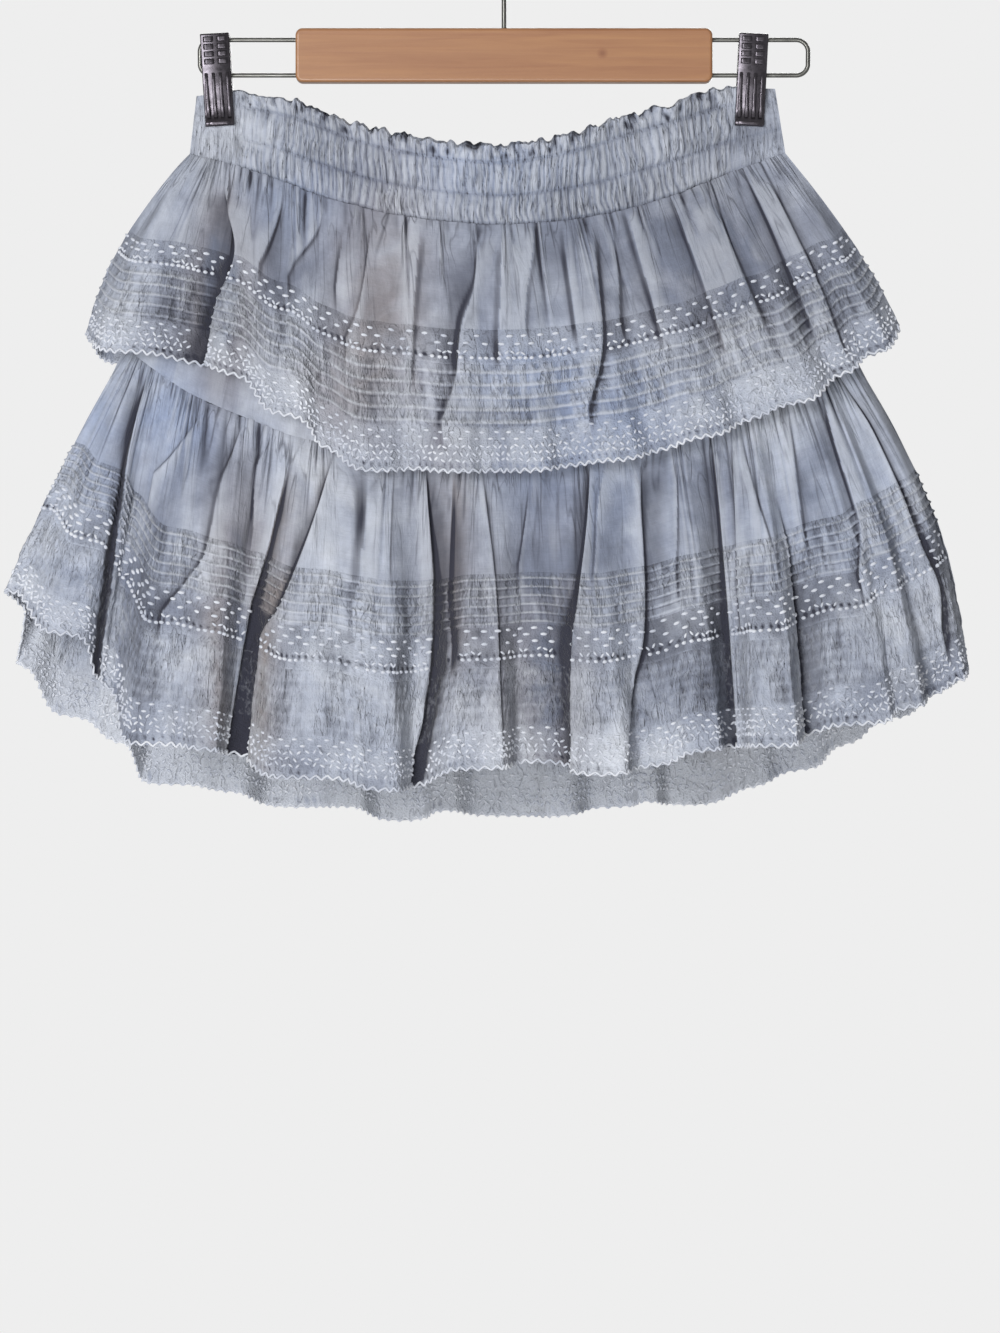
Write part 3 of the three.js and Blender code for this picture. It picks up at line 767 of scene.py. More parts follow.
class Mould:
    """Collects meshes and casts them as one piece."""

    def __init__(self) -> None:
        """Starts with nothing."""
        self.points: list[np.ndarray] = []
        self.faces: list[np.ndarray] = []
        self.count = 0

    def add(self, points: np.ndarray, faces: np.ndarray) -> None:
        """Adds a mesh.

        Args:
            points: its points, in mm.
            faces: its faces, all with the same number of corners.
        """
        self.points.append(points.reshape(-1, 3))
        self.faces.append(faces + self.count)
        self.count += points.reshape(-1, 3).shape[0]

    def add_grid(self, grid: np.ndarray, wrap: bool = False) -> None:
        """Adds a grid of points as a surface.

        Args:
            grid: rows by columns of points.
            wrap: whether the last column joins the first one.
        """
        rows, columns = grid.shape[:2]
        index = np.arange(rows * columns).reshape(rows, columns)
        if wrap:
            index = np.concatenate([index, index[:, :1]], 1)
        quads = np.stack([index[:-1, :-1], index[1:, :-1], index[1:, 1:], index[:-1, 1:]], -1)
        self.add(grid, quads.reshape(-1, 4))

    def cast(self, name: str, finish: bpy.types.Material) -> bpy.types.Object:
        """Makes the piece.

        Args:
            name: the piece's name.
            finish: its material.

        Returns:
            The piece, in metres.
        """
        mesh = bpy.data.meshes.new(name)
        points = np.concatenate(self.points) * MM
        mesh.vertices.add(len(points))
        mesh.vertices.foreach_set("co", points.astype(np.float32).ravel())
        corners = np.concatenate([faces.ravel() for faces in self.faces])
        sizes = np.concatenate([np.full(len(faces), faces.shape[1]) for faces in self.faces])
        mesh.loops.add(len(corners))
        mesh.loops.foreach_set("vertex_index", corners.astype(np.int32))
        mesh.polygons.add(len(sizes))
        starts = np.concatenate([[0], np.cumsum(sizes)[:-1]])
        mesh.polygons.foreach_set("loop_start", starts.astype(np.int32))
        mesh.update(calc_edges=True)
        mesh.validate()
        mesh.polygons.foreach_set("use_smooth", np.full(len(sizes), True))
        mesh.materials.append(finish)
        piece = bpy.data.objects.new(name, mesh)
        bpy.context.scene.collection.objects.link(piece)
        return piece


def tube(mould: Mould, path: np.ndarray, out: np.ndarray, radius: float | np.ndarray, sides: int = 6) -> None:
    """Adds a round cord along a path to a mould.

    Args:
        mould: what it is added to.
        path: the cord's points.
        out: a direction square to it at each point.
        radius: the cord's radius, or one for each point.
        sides: how many sides it has.
    """
    run = np.gradient(path, axis=0)
    run /= np.linalg.norm(run, axis=1, keepdims=True) + 1e-9
    across = np.cross(run, out)
    across /= np.linalg.norm(across, axis=1, keepdims=True) + 1e-9
    up = np.cross(across, run)
    turn = np.linspace(0, 2 * np.pi, sides, endpoint=False)
    ring = np.cos(turn)[None, :, None] * across[:, None] + np.sin(turn)[None, :, None] * up[:, None]
    size = np.broadcast_to(np.asarray(radius, float), len(path))
    grid = path[:, None] + ring * size[:, None, None]
    mould.add_grid(grid, wrap=True)
    for end in (0, -1):
        mould.add(grid[end], np.arange(sides)[None, :])


def stitches(
    mould: Mould,
    skin: Skin,
    place: np.ndarray,
    down: np.ndarray,
    size: tuple[float, float, float],
    turn: np.ndarray | float = 0.0,
    side: int = 1,
) -> None:
    """Adds lens-shaped raised stitches to a mould.

    Args:
        mould: what they are added to.
        skin: the cloth that they are sewn on.
        place: their places along it.
        down: their heights on it.
        size: a stitch's length, width and height.
        turn: each stitch's angle to the band.
        side: 1 outside the cloth, -1 inside it.
    """
    length, width, height = size
    turn = np.broadcast_to(np.asarray(turn, float), len(place))
    # Stitches are left out where painted shade lies, so that none stand pale in a dark fold.
    open_ = skin.shade_at(place, down) < 0.5
    place, down, turn = place[open_], down[open_], turn[open_]
    point, along, drop, out = skin.frames(place, down)
    out = out * side
    angle = np.radians(turn)[:, None]
    axis = along * np.cos(angle) + drop * np.sin(angle)
    cross = drop * np.cos(angle) - along * np.sin(angle)
    sides = 8
    round_ = np.linspace(0, 2 * np.pi, sides, endpoint=False)
    rings = [(1.0, -0.3), (0.72, 0.65)]
    parts = [
        point[:, None]
        + axis[:, None] * (scale * length / 2 * np.cos(round_))[None, :, None]
        + cross[:, None] * (scale * width / 2 * np.sin(round_))[None, :, None]
        + out[:, None] * (rise * height)
        for scale, rise in rings
    ]
    crown = (point + out * height)[:, None]
    grid = np.concatenate([*parts, crown], 1)
    ring = np.arange(sides)
    after = (ring + 1) % sides
    low = np.stack([ring, after, after + sides], -1)
    high = np.stack([ring, after + sides, ring + sides], -1)
    cap = np.stack([ring + sides, after + sides, np.full(sides, 2 * sides)], -1)
    pattern = np.concatenate([low, high, cap])
    step = 2 * sides + 1
    faces = (np.arange(len(place))[:, None, None] * step + pattern[None]).reshape(-1, 3)
    mould.add(grid, faces)


def colour(red: int, green: int, blue: int) -> tuple[float, float, float, float]:
    """A colour as a shader takes it.

    Args:
        red: from 0 to 255, as a screen shows it.
        green: the same.
        blue: the same.

    Returns:
        The linear colour with full cover.
    """

    def straight(part: int) -> float:
        """One part of the colour, made linear."""
        share = part / 255
        return share / 12.92 if share <= 0.04045 else ((share + 0.055) / 1.055) ** 2.4

    return straight(red), straight(green), straight(blue), 1.0


Socket = bpy.types.NodeSocket
Input = Socket | float | tuple[float, ...]


class ShaderBoard:
    """A material's nodes, with short ways to add and join them."""

    def __init__(self, name: str) -> None:
        """Makes a material with one main shader.

        Args:
            name: the material's name.
        """
        self.material = bpy.data.materials.new(name)
        self.material.use_nodes = True
        self.tree = self.material.node_tree
        self.tree.nodes.clear()
        self.surface = self.tree.nodes.new("ShaderNodeBsdfPrincipled")
        output = self.tree.nodes.new("ShaderNodeOutputMaterial")
        self.tree.links.new(self.surface.outputs["BSDF"], output.inputs["Surface"])

    def feed(self, socket: Socket, value: Input) -> None:
        """Joins a socket to another one, or sets its value.

        Args:
            socket: the input socket.
            value: another node's output, or a value.
        """
        if isinstance(value, Socket):
            self.tree.links.new(value, socket)
        else:
            socket.default_value = value

    def node(self, kind: str, settings: dict[str, object], **inputs: Input) -> bpy.types.Node:
        """Adds a node.

        Args:
            kind: the node's type, after ShaderNode.
            settings: the node's own options.
            inputs: its sockets' values, by name with _ for a space.

        Returns:
            The node.
        """
        made = self.tree.nodes.new("ShaderNode" + kind)
        for key, value in settings.items():
            setattr(made, key, value)
        for key, value in inputs.items():
            self.feed(made.inputs[key.replace("_", " ")], value)
        return made

    def attribute(self, name: str) -> bpy.types.Node:
        """A value stored on the mesh."""
        return self.node("Attribute", {"attribute_name": name})

    def math(self, operation: str, a: Input, b: Input = 0.0) -> Socket:
        """A sum on one or two values.

        Args:
            operation: the sum's kind.
            a: the first value.
            b: the second value, where the sum has one.

        Returns:
            The result.
        """
        made = self.node("Math", {"operation": operation})
        for socket, value in zip(made.inputs, (a, b)):
            self.feed(socket, value)
        return made.outputs[0]

    def stretch(self, vector: Input, scale: tuple[float, float, float]) -> Socket:
        """A vector with each part scaled.

        Args:
            vector: the vector.
            scale: what its three parts are multiplied by.

        Returns:
            The scaled vector.
        """
        made = self.node("VectorMath", {"operation": "MULTIPLY"})
        self.feed(made.inputs[0], vector)
        made.inputs[1].default_value = scale
        return made.outputs[0]

    def noise(self, vector: Input, scale: float, detail: float = 3.0, twist: float = 0.0) -> Socket:
        """Soft noise from 0 to 1.

        Args:
            vector: where it is looked up.
            scale: how fine it is.
            detail: how many finer layers it has.
            twist: how far it is bent by itself.

        Returns:
            The noise.
        """
        made = self.node("TexNoise", {}, Vector=vector, Scale=scale, Detail=detail, Distortion=twist)
        made.inputs["Roughness"].default_value = 0.6
        return made.outputs["Fac"]

    def span(self, value: Input, low: float, high: float, start: float, end: float) -> Socket:
        """A value moved from one range to another, and held in it.

        Args:
            value: the value.
            low: where the first range starts.
            high: where it ends.
            start: what low becomes.
            end: what high becomes.

        Returns:
            The moved value.
        """
        made = self.node("MapRange", {"clamp": True})
        for socket, part in zip(made.inputs, (value, low, high, start, end)):
            self.feed(socket, part)
        return made.outputs[0]

    def blend(self, share: Input, a: Input, b: Input, kind: str = "MIX") -> Socket:
        """A mix of two colours.

        Args:
            share: how much of the second it takes.
            a: the first colour.
            b: the second colour.
            kind: how they mix.

        Returns:
            The mixed colour.
        """
        made = self.node("Mix", {"data_type": "RGBA", "blend_type": kind})
        self.feed(made.inputs[0], share)
        self.feed(made.inputs[6], a)
        self.feed(made.inputs[7], b)
        return made.outputs[2]

    def bump(self, height: Input, distance: float, strength: float, under: Input | None = None) -> Socket:
        """A bump, over another one where there is one.

        Args:
            height: what makes it rise.
            distance: how far it rises, in metres.
            strength: how much of it shows.
            under: the bump that it lies on.

        Returns:
            The bent normal.
        """
        made = self.node("Bump", {}, Height=height, Distance=distance, Strength=strength)
        if under is not None:
            self.feed(made.inputs["Normal"], under)
        return made.outputs["Normal"]

    def set(self, **values: Input) -> None:
        """Sets the main shader's sockets by name, with _ for a space."""
        for key, value in values.items():
            self.feed(self.surface.inputs[key.replace("_", " ")], value)


@dataclass(frozen=True)
class ThinCrease:
    """A set of thin creases, each a bump with a line of painted shade.

    Attributes:
        scale: how often they come, along and down, to the centimetre.
        width: how broad they are.
        dark: how dark their painted shade is.
        reach: how far below the seam they fade out, in centimetres, or 0 where they don't.
    """

    scale: tuple[float, float, float]
    width: float
    dark: float
    reach: float = 0.0


@dataclass(frozen=True)
class WashedCotton:
    """Crinkled cotton with a cloudy mineral wash, and with painted light and shade: hollows, folds, creases
    and the net's holes are painted dark, and raised parts paler, partly painted highlight and partly wash
    wear. The cut attribute holds centimetres along and down.
    """

    weave: Weave
    base: tuple[int, int, int] = (161, 167, 181)
    # pale is a paler tone of the wash and the colour that raised parts are painted towards, partly painted
    # highlight and partly wash wear.
    pale: tuple[int, int, int] = (192, 196, 204)
    # dim is a darker tone of the wash and the colour of the dark patches, painted shade where they lie along
    # the folds.
    dim: tuple[int, int, int] = (110, 116, 132)
    blue: tuple[int, int, int] = (126, 141, 172)
    warm: tuple[int, int, int] = (136, 129, 128)
    # deep is the colour of the painted shade in folds, creases, puckers and holes.
    deep: tuple[int, int, int] = (40, 41, 53)
    cloud_scale: float = 13.0
    mottle_scale: float = 130.0

    def clouds(self, board: ShaderBoard) -> Socket:
        """The wash's colour.

        Args:
            board: the material's nodes.

        Returns:
            The colour.
        """
        position = board.node("TexCoord", {}).outputs["Object"]
        cloud = board.noise(position, self.cloud_scale, 5.0, 0.7)
        tone = board.blend(board.span(cloud, 0.3, 0.5, 0, 1), colour(*self.dim), colour(*self.base))
        tone = board.blend(board.span(cloud, 0.5, 0.72, 0, 1), tone, colour(*self.pale))
        parts = board.node("SeparateXYZ", {})
        board.feed(parts.inputs[0], board.attribute("tint").outputs["Vector"])
        ragged = board.span(board.noise(position, 34.0, 5.0, 0.5), 0.3, 0.65, 0.45, 1.25)
        # The third part of the tint, from the dark patches, mixes in dim: painted shade along the folds, a
        # darker cloud elsewhere.
        for output, shade in zip(parts.outputs, (self.blue, self.warm, self.dim)):
            amount = board.math("MULTIPLY", output, ragged)
            held = board.node("Clamp", {})
            board.feed(held.inputs[0], amount)
            tone = board.blend(held.outputs[0], tone, colour(*shade))
        mottle = board.span(board.noise(position, self.mottle_scale, 5.0), 0.3, 0.7, 0.88, 1.1)
        grey = board.node("CombineXYZ", {}, X=mottle, Y=mottle, Z=mottle).outputs[0]
        return board.blend(1.0, tone, grey, "MULTIPLY")

    def creases(self) -> tuple[ThinCrease, ...]:
        """The sets of thin creases that this weave takes.

        Returns:
            The sets, with the first one lowest.
        """
        long_ones = ThinCrease((0.85, 0.1, 1.0), 0.024, 0.6, 9.0)
        if self.weave is Weave.PLAIN:
            return long_ones, ThinCrease((1.7, 0.3, 1.0), 0.03, 0.5, 3.5)
        if self.weave is Weave.TUCKED:
            return long_ones, ThinCrease((3.1, 0.9, 1.0), 0.07, 0.3), ThinCrease((5.2, 1.6, 1.0), 0.07, 0.2)
        if self.weave is Weave.GAUZE:
            return ThinCrease((4.4, 1.3, 1.0), 0.07, 0.18), ThinCrease((1.5, 0.2, 1.0), 0.03, 0.2)
        if self.weave is Weave.SHIRRED:
            return ThinCrease((2.6, 0.3, 1.0), 0.06, 0.36), ThinCrease((4.5, 0.8, 1.0), 0.06, 0.16)
        return (ThinCrease((1.8, 0.8, 1.0), 0.035, 0.2),)

    def crease_lines(self, board: ShaderBoard, cut: Input, crease: ThinCrease) -> Socket:
        """Thin lines that part and meet as they run down the cloth.

        Args:
            board: the material's nodes.
            cut: the place on the cut cloth, in centimetres.
            crease: the set of lines.

        Returns:
            1 on a line, 0 between the lines.
        """
        spread = board.noise(board.stretch(cut, crease.scale), 1.0, 1.5, 0.35)
        away = board.math("ABSOLUTE", board.math("SUBTRACT", spread, 0.5))
        line = board.span(away, 0.0, crease.width, 1.0, 0.0)
        gaps = board.span(board.noise(board.stretch(cut, (0.9, 0.35, 1.0)), 1.0, 2.0), 0.36, 0.56, 0.15, 1.0)
        line = board.math("MULTIPLY", line, gaps)
        if crease.reach:
            parts = board.node("SeparateXYZ", {})
            board.feed(parts.inputs[0], cut)
            line = board.math("MULTIPLY", line, board.span(parts.outputs["Y"], 0.0, crease.reach, 1.0, 0.0))
        return line

    def material(self) -> bpy.types.Material:
        """Makes the finish.

        Returns:
            The material.
        """
        board = ShaderBoard(f"washed_cotton_{self.weave.value}")
        cut = board.attribute("cut").outputs["Vector"]
        tone = self.clouds(board)
        slub = board.span(board.noise(board.stretch(cut, (1.2, 16.0, 1.0)), 1.0, 3.0), 0.3, 0.7, 0.94, 1.05)
        streak = board.span(board.noise(board.stretch(cut, (6.0, 0.5, 1.0)), 1.0, 3.0), 0.3, 0.7, 0.93, 1.06)
        thread = board.math("MULTIPLY", slub, streak)
        thread = board.node("CombineXYZ", {}, X=thread, Y=thread, Z=thread).outputs[0]
        tone = board.blend(1.0, tone, thread, "MULTIPLY")
        relief = board.attribute("relief").outputs["Fac"]
        # Painted light and shade: raised parts paler, partly painted highlight and partly wash wear, and
        # hollows and fold gaps near black, painted shade.
        tone = board.blend(board.span(relief, 0.1, 1.2, 0, 0.75), tone, colour(*self.pale))
        tone = board.blend(board.span(relief, -0.12, -1.3, 0, 0.96), tone, colour(*self.deep))
        crumple = board.noise(board.stretch(cut, (2.2, 0.9, 1.0)), 1.0, 5.0, 1.2)
        normal = board.bump(crumple, 0.0012, 0.55)
        for crease in self.creases():
            line = self.crease_lines(board, cut, crease)
            normal = board.bump(board.math("SUBTRACT", 1.0, line), 0.0009, 0.6, normal)
            # Painted shade along each crease line.
            tone = board.blend(board.math("MULTIPLY", line, crease.dark), tone, colour(*self.deep))
        if self.weave is Weave.GAUZE:
            crinkle = board.noise(board.stretch(cut, (5.0, 2.6, 1.0)), 1.0, 3.0, 0.3)
            normal = board.bump(crinkle, 0.0016, 0.7, normal)
            # The crinkle's crests are painted paler, partly painted highlight and partly wash wear.
            tone = board.blend(board.span(crinkle, 0.5, 0.66, 0, 0.14), tone, colour(*self.pale))
        elif self.weave is Weave.NET:
            spread = board.stretch(cut, (5.5, 6.5, 1.0))
            cells = board.node("TexVoronoi", {"feature": "DISTANCE_TO_EDGE"}, Vector=spread, Scale=1.0)
            mesh = board.span(cells.outputs["Distance"], 0.05, 0.28, 0, 1)
            normal = board.bump(board.math("SUBTRACT", 1.0, mesh), 0.0008, 0.35, normal)
            # The cells' middles are painted dark: painted shade where the net's holes are.
            tone = board.blend(board.span(mesh, 0.2, 1.0, 0, 0.13), tone, colour(*self.deep))
        elif self.weave is Weave.SHIRRED:
            shirr = board.noise(board.stretch(cut, (7.0, 1.0, 1.0)), 1.0, 3.0, 0.6)
            normal = board.bump(shirr, 0.0012, 0.6, normal)
        weave = board.noise(board.stretch(cut, (26.0, 26.0, 1.0)), 1.0, 2.0)
        board.set(
            Base_Color=tone,
            Roughness=0.93,
            Specular_IOR_Level=0.18,
            Sheen_Weight=0.12,
            Sheen_Roughness=0.6,
            Normal=board.bump(weave, 0.0002, 0.35, normal),
        )
        return board.material


@dataclass(frozen=True)
class LaceThread:
    """Pale raised cotton thread, which took less of the wash than the cloth did."""

    base: tuple[int, int, int] = (206, 209, 216)
    dim: tuple[int, int, int] = (174, 179, 191)

    def material(self) -> bpy.types.Material:
        """Makes the finish.

        Returns:
            The material.
        """
        board = ShaderBoard("lace_thread")
        position = board.node("TexCoord", {}).outputs["Object"]
        cloud = board.span(board.noise(position, 40.0, 4.0), 0.35, 0.65, 0, 1)
        tone = board.blend(cloud, colour(*self.dim), colour(*self.base))
        twist = board.noise(position, 1500.0, 2.0)
        board.set(
            Base_Color=tone,
            Roughness=0.88,
            Specular_IOR_Level=0.25,
            Sheen_Weight=0.15,
            Normal=board.bump(twist, 0.0002, 0.5),
        )
        return board.material


@dataclass(frozen=True)
class PaleWood:
    """Satin varnished pale wood with a long grain and one small knot."""

    light: tuple[int, int, int] = (157, 114, 79)
    dark: tuple[int, int, int] = (135, 89, 58)
    knot: tuple[int, int, int] = (118, 72, 48)
    knot_at: tuple[float, float, float] = (54.0, -7.0, -76.0)

    def material(self) -> bpy.types.Material:
        """Makes the finish.

        Returns:
            The material.
        """
        board = ShaderBoard("pale_wood")
        position = board.node("TexCoord", {}).outputs["Object"]
        grain = board.noise(board.stretch(position, (9.0, 160.0, 230.0)), 1.0, 6.0, 0.8)
        wide = board.noise(board.stretch(position, (5.0, 40.0, 60.0)), 1.0, 3.0, 0.5)
        tone = board.blend(board.span(grain, 0.3, 0.7, 0, 1), colour(*self.dark), colour(*self.light))
        tone = board.blend(board.span(wide, 0.35, 0.7, 0, 0.45), tone, colour(*self.light))
        away = board.node("VectorMath", {"operation": "DISTANCE"})
        board.feed(away.inputs[0], position)
        away.inputs[1].default_value = tuple(part * MM for part in self.knot_at)
        near = board.span(away.outputs["Value"], 0.0035, 0.0005, 0, 0.8)
        tone = board.blend(near, tone, colour(*self.knot))
        board.set(
            Base_Color=tone,
            Roughness=board.span(grain, 0.3, 0.7, 0.42, 0.3),
            Specular_IOR_Level=0.45,
            Coat_Weight=0.25,
            Coat_Roughness=0.3,
            Normal=board.bump(grain, 0.0003, 0.35),
        )
        return board.material


@dataclass(frozen=True)
class Chrome:
    """Plated steel with faint rubbing marks, its base colour darker than chrome's own: a painted reflection
    of dark surroundings.
    """

    name: str = "chrome"
    base: tuple[int, int, int] = (126, 126, 122)
    roughness: float = 0.3

    def material(self) -> bpy.types.Material:
        """Makes the finish.

        Returns:
            The material.
        """
        board = ShaderBoard(self.name)
        position = board.node("TexCoord", {}).outputs["Object"]
        rub = board.noise(position, 420.0, 5.0)
        smear = board.noise(position, 60.0, 3.0)
        dull = tuple(int(part * 0.8) for part in self.base)
        board.set(
            Base_Color=board.blend(board.span(smear, 0.35, 0.7, 0, 1), colour(*dull), colour(*self.base)),
            Metallic=1.0,
            Roughness=board.span(rub, 0.3, 0.7, self.roughness, self.roughness + 0.18),
            Normal=board.bump(rub, 0.0001, 0.2),
        )
        return board.material


class Wardrobe:
    """The finishes, each made once."""

    def __init__(self) -> None:
        """Makes every finish."""
        self.cotton = {weave: WashedCotton(weave).material() for weave in Weave}
        self.thread = LaceThread().material()
        self.wood = PaleWood().material()
        self.chrome = Chrome().material()
        # The jaws' chrome is darker still and faintly purple: a painted dark, purple reflection.
        self.dark_chrome = Chrome("dark_chrome", (92, 88, 94), 0.22).material()


def tints(points: np.ndarray, face: Face) -> np.ndarray:
    """How far each point of the cloth lies in the patches of wash tint and of painted shade.

    Args:
        points: the points, in mm.
        face: the side of the skirt. The back has the patches turned about and weaker.

    Returns:
        The three tones' amounts at each point.
    """
    found = np.zeros(points.shape)
    for patch in PATCHES:
        x, amount = patch.x, patch.amount
        if face is Face.BACK:
            x, amount = WAIST_MIDDLE - patch.x * 0.9, patch.amount * 0.8
        away = ((points[..., 0] - x) / patch.wide) ** 2 + ((points[..., 2] - patch.z) / patch.tall) ** 2
        found[..., patch.tone.value] += amount * np.exp(-0.8 * away)
    return np.clip(found, 0, 1)


def dress(piece: bpy.types.Object, nodes: Iterable[str] = ()) -> bpy.types.Object:
    """Sets a piece in the frame.

    Args:
        piece: the piece.
        nodes: the part's solids that it stands for.

    Returns:
        The piece.
    """
    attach(piece, "root")
    names = list(nodes)
    if names:
        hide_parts(*names)
    LOG.info("%s: %d faces", piece.name, len(piece.data.polygons))
    return piece


def cloth_piece(
    name: str, cloth: Cloth, skin: Skin, finish: bpy.types.Material, drop: float
) -> bpy.types.Object:
    """Casts a skin as a piece with what its finish reads.

    Args:
        name: the piece's name.
        cloth: the surface that it lies on.
        skin: the fine surface.
        finish: its material.
        drop: the cloth's length from seam to hem.

    Returns:
        The piece.
    """
    mould = Mould()
    mould.add_grid(skin.points)
    piece = mould.cast(name, finish)
    mesh = piece.data
    relief = mesh.attributes.new("relief", "FLOAT", "POINT")
    # Half the lift less the shade: the finish paints its high values paler, partly painted highlight, and its
    # low values near black, painted shade.
    shown = np.clip(skin.relief.lift, -1.2, 1.2) * 0.5 - skin.relief.shade
    relief.data.foreach_set("value", shown.astype(np.float32).ravel())
    tint = mesh.attributes.new("tint", "FLOAT_VECTOR", "POINT")
    amounts = tints(skin.points, cloth.face)
    # The tint's warm part also takes the brown painted into the folds' shade.
    amounts[..., 1] = np.clip(amounts[..., 1] + skin.relief.warm, 0, 1)
    tint.data.foreach_set("vector", amounts.astype(np.float32).ravel())
    cut = mesh.attributes.new("cut", "FLOAT_VECTOR", "POINT")
    place = np.broadcast_to(skin.places[None, :] / 10, skin.relief.lift.shape)
    down = np.broadcast_to(skin.downs[:, None] * drop / 10, skin.relief.lift.shape)
    layer = np.full(place.shape, 7.0 * cloth.face.value + cloth.length / 100)
    cut.data.foreach_set("vector", np.stack([place, down, layer], -1).astype(np.float32).ravel())
    return piece


@dataclass(frozen=True)
class Trim:
    """A row of raised work along a band.

    Attributes:
        kind: the work's kind.
        down: its height on the ruffle.
        pitch: the repeat along the hem.
        shift: how far the row starts along.
        size: length, width and height of a stitch, or the swing, 0 and radius of a zigzag.
    """

    kind: Work
    down: float
    pitch: float
    shift: float
    size: tuple[float, float, float]


@dataclass(frozen=True)
class Band:
    """One strip of a ruffle.

    Attributes:
        name: its name.
        end: where it ends, from 0 at the seam to 1 at the hem.
        weave: its cloth.
        tucks: how many tucks it has.
        flat: its cut's width and length, in metres; not used.
        trims: its rows of raised work.
        holes: its rows of small holes, painted as spots of shade, each a down and a pitch.
    """

    name: str
    end: float
    weave: Weave
    tucks: int
    flat: tuple[float, float]
    trims: tuple[Trim, ...] = ()
    holes: tuple[tuple[float, float], ...] = ()


DASH = (4.1, 1.9, 1.0)
SHORT_DASH = (3.4, 1.6, 0.9)
KNOT = (2.9, 2.2, 1.2)
LEAF = (3.3, 1.4, 0.9)
UPPER_BANDS = (
    Band("gathered", 0.43, Weave.PLAIN, 0, (0.5, 0.063)),
    Band(
        "insertion",
        0.57,
        Weave.NET,
        0,
        (0.52, 0.021),
        (
            Trim(Work.DASH, 0.456, 10.6, 0, DASH),
            Trim(Work.DASH, 0.487, 10.6, 5.3, DASH),
            Trim(Work.LEAF, 0.523, 3.9, 0, LEAF),
            Trim(Work.KNOT, 0.545, 4.4, 1.4, KNOT),
        ),
        ((0.536, 4.4),),
    ),
    Band("pintucks", 0.82, Weave.TUCKED, 5, (0.55, 0.045)),
    Band(
        "edging",
        1,
        Weave.NET,
        0,
        (0.6, 0.027),
        (
            Trim(Work.DASH, 0.842, 8.4, 0, SHORT_DASH),
            Trim(Work.DASH, 0.868, 8.4, 4.2, SHORT_DASH),
            Trim(Work.LEAF, 0.9, 3.7, 0, LEAF),
            Trim(Work.LEAF, 0.927, 3.7, 1.8, LEAF),
            Trim(Work.LEAF, 0.952, 3.9, 0.5, LEAF),
            Trim(Work.ZIGZAG, 0.996, 5.4, 0, (1.15, 0, 0.66)),
        ),
        ((0.974, 4.0),),
    ),
)
LOWER_BANDS = (
    Band("gathered", 0.38, Weave.PLAIN, 0, (0.68, 0.067)),
    Band("pintucks", 0.55, Weave.TUCKED, 6, (0.72, 0.042)),
    Band(
        "insertion",
        0.68,
        Weave.NET,
        0,
        (0.78, 0.024),
        (
            Trim(Work.DASH, 0.562, 11.0, 0, DASH),
            Trim(Work.DASH, 0.583, 11.0, 5.5, DASH),
            Trim(Work.DASH, 0.604, 11.0, 0, DASH),
            Trim(Work.LEAF, 0.632, 4.1, 0, LEAF),
            Trim(Work.KNOT, 0.652, 4.6, 1.6, KNOT),
        ),
        ((0.642, 4.6),),
    ),
    Band("gauze", 0.875, Weave.GAUZE, 0, (0.84, 0.038)),
    Band(
        "edging",
        1,
        Weave.NET,
        0,
        (0.88, 0.026),
        (
            Trim(Work.DASH, 0.886, 8.4, 0, SHORT_DASH),
            Trim(Work.DASH, 0.904, 8.4, 4.2, SHORT_DASH),
            Trim(Work.LEAF, 0.924, 3.8, 0, LEAF),
            Trim(Work.LEAF, 0.944, 3.8, 1.9, LEAF),
            Trim(Work.LEAF, 0.961, 4.0, 0.5, LEAF),
            Trim(Work.ZIGZAG, 0.997, 5.6, 0, (1.2, 0, 0.66)),
        ),
        ((0.979, 4.2),),
    ),
)


def trim_row(mould: Mould, skin: Skin, trim: Trim, seed: int, side: int = 1) -> None:
    """Adds one row of raised work to a mould.

    Args:
        mould: what it is added to.
        skin: the cloth that it is sewn on.
        trim: the row.
        seed: picks its unevenness.
        side: 1 outside the cloth, -1 inside it.
    """
    rng = np.random.default_rng(seed)
    first, last = skin.places[0] + 1.5, skin.places[-1] - 1.5
    if trim.kind is Work.ZIGZAG:
        place = np.arange(first, last, trim.pitch / 8)
        point, _, drop, out = skin.frames(place, np.full_like(place, trim.down))
        beat = np.arcsin(0.96 * np.sin(2 * np.pi * place / trim.pitch)) / 1.29
        beat = beat * (1 + 0.25 * rng.uniform(-1, 1, len(place)))
        path = point + drop * (beat * trim.size[0])[:, None] + out * 0.3
        tube(mould, path, out, trim.size[2], 5)
        return
    place = np.arange(first + trim.shift, last, trim.pitch)
    place = place + rng.uniform(-0.5, 0.5, len(place))
    down = np.full_like(place, trim.down) + rng.uniform(-0.0015, 0.0015, len(place))
    wobble = rng.uniform(-8, 8, len(place))
    if trim.kind is Work.LEAF:
        wobble = np.where(np.arange(len(place)) % 2, 1, -1) * rng.uniform(20, 60, len(place))
        down = down + rng.uniform(-0.005, 0.005, len(place))
    stitches(mould, skin, place, down, trim.size, wobble, side)


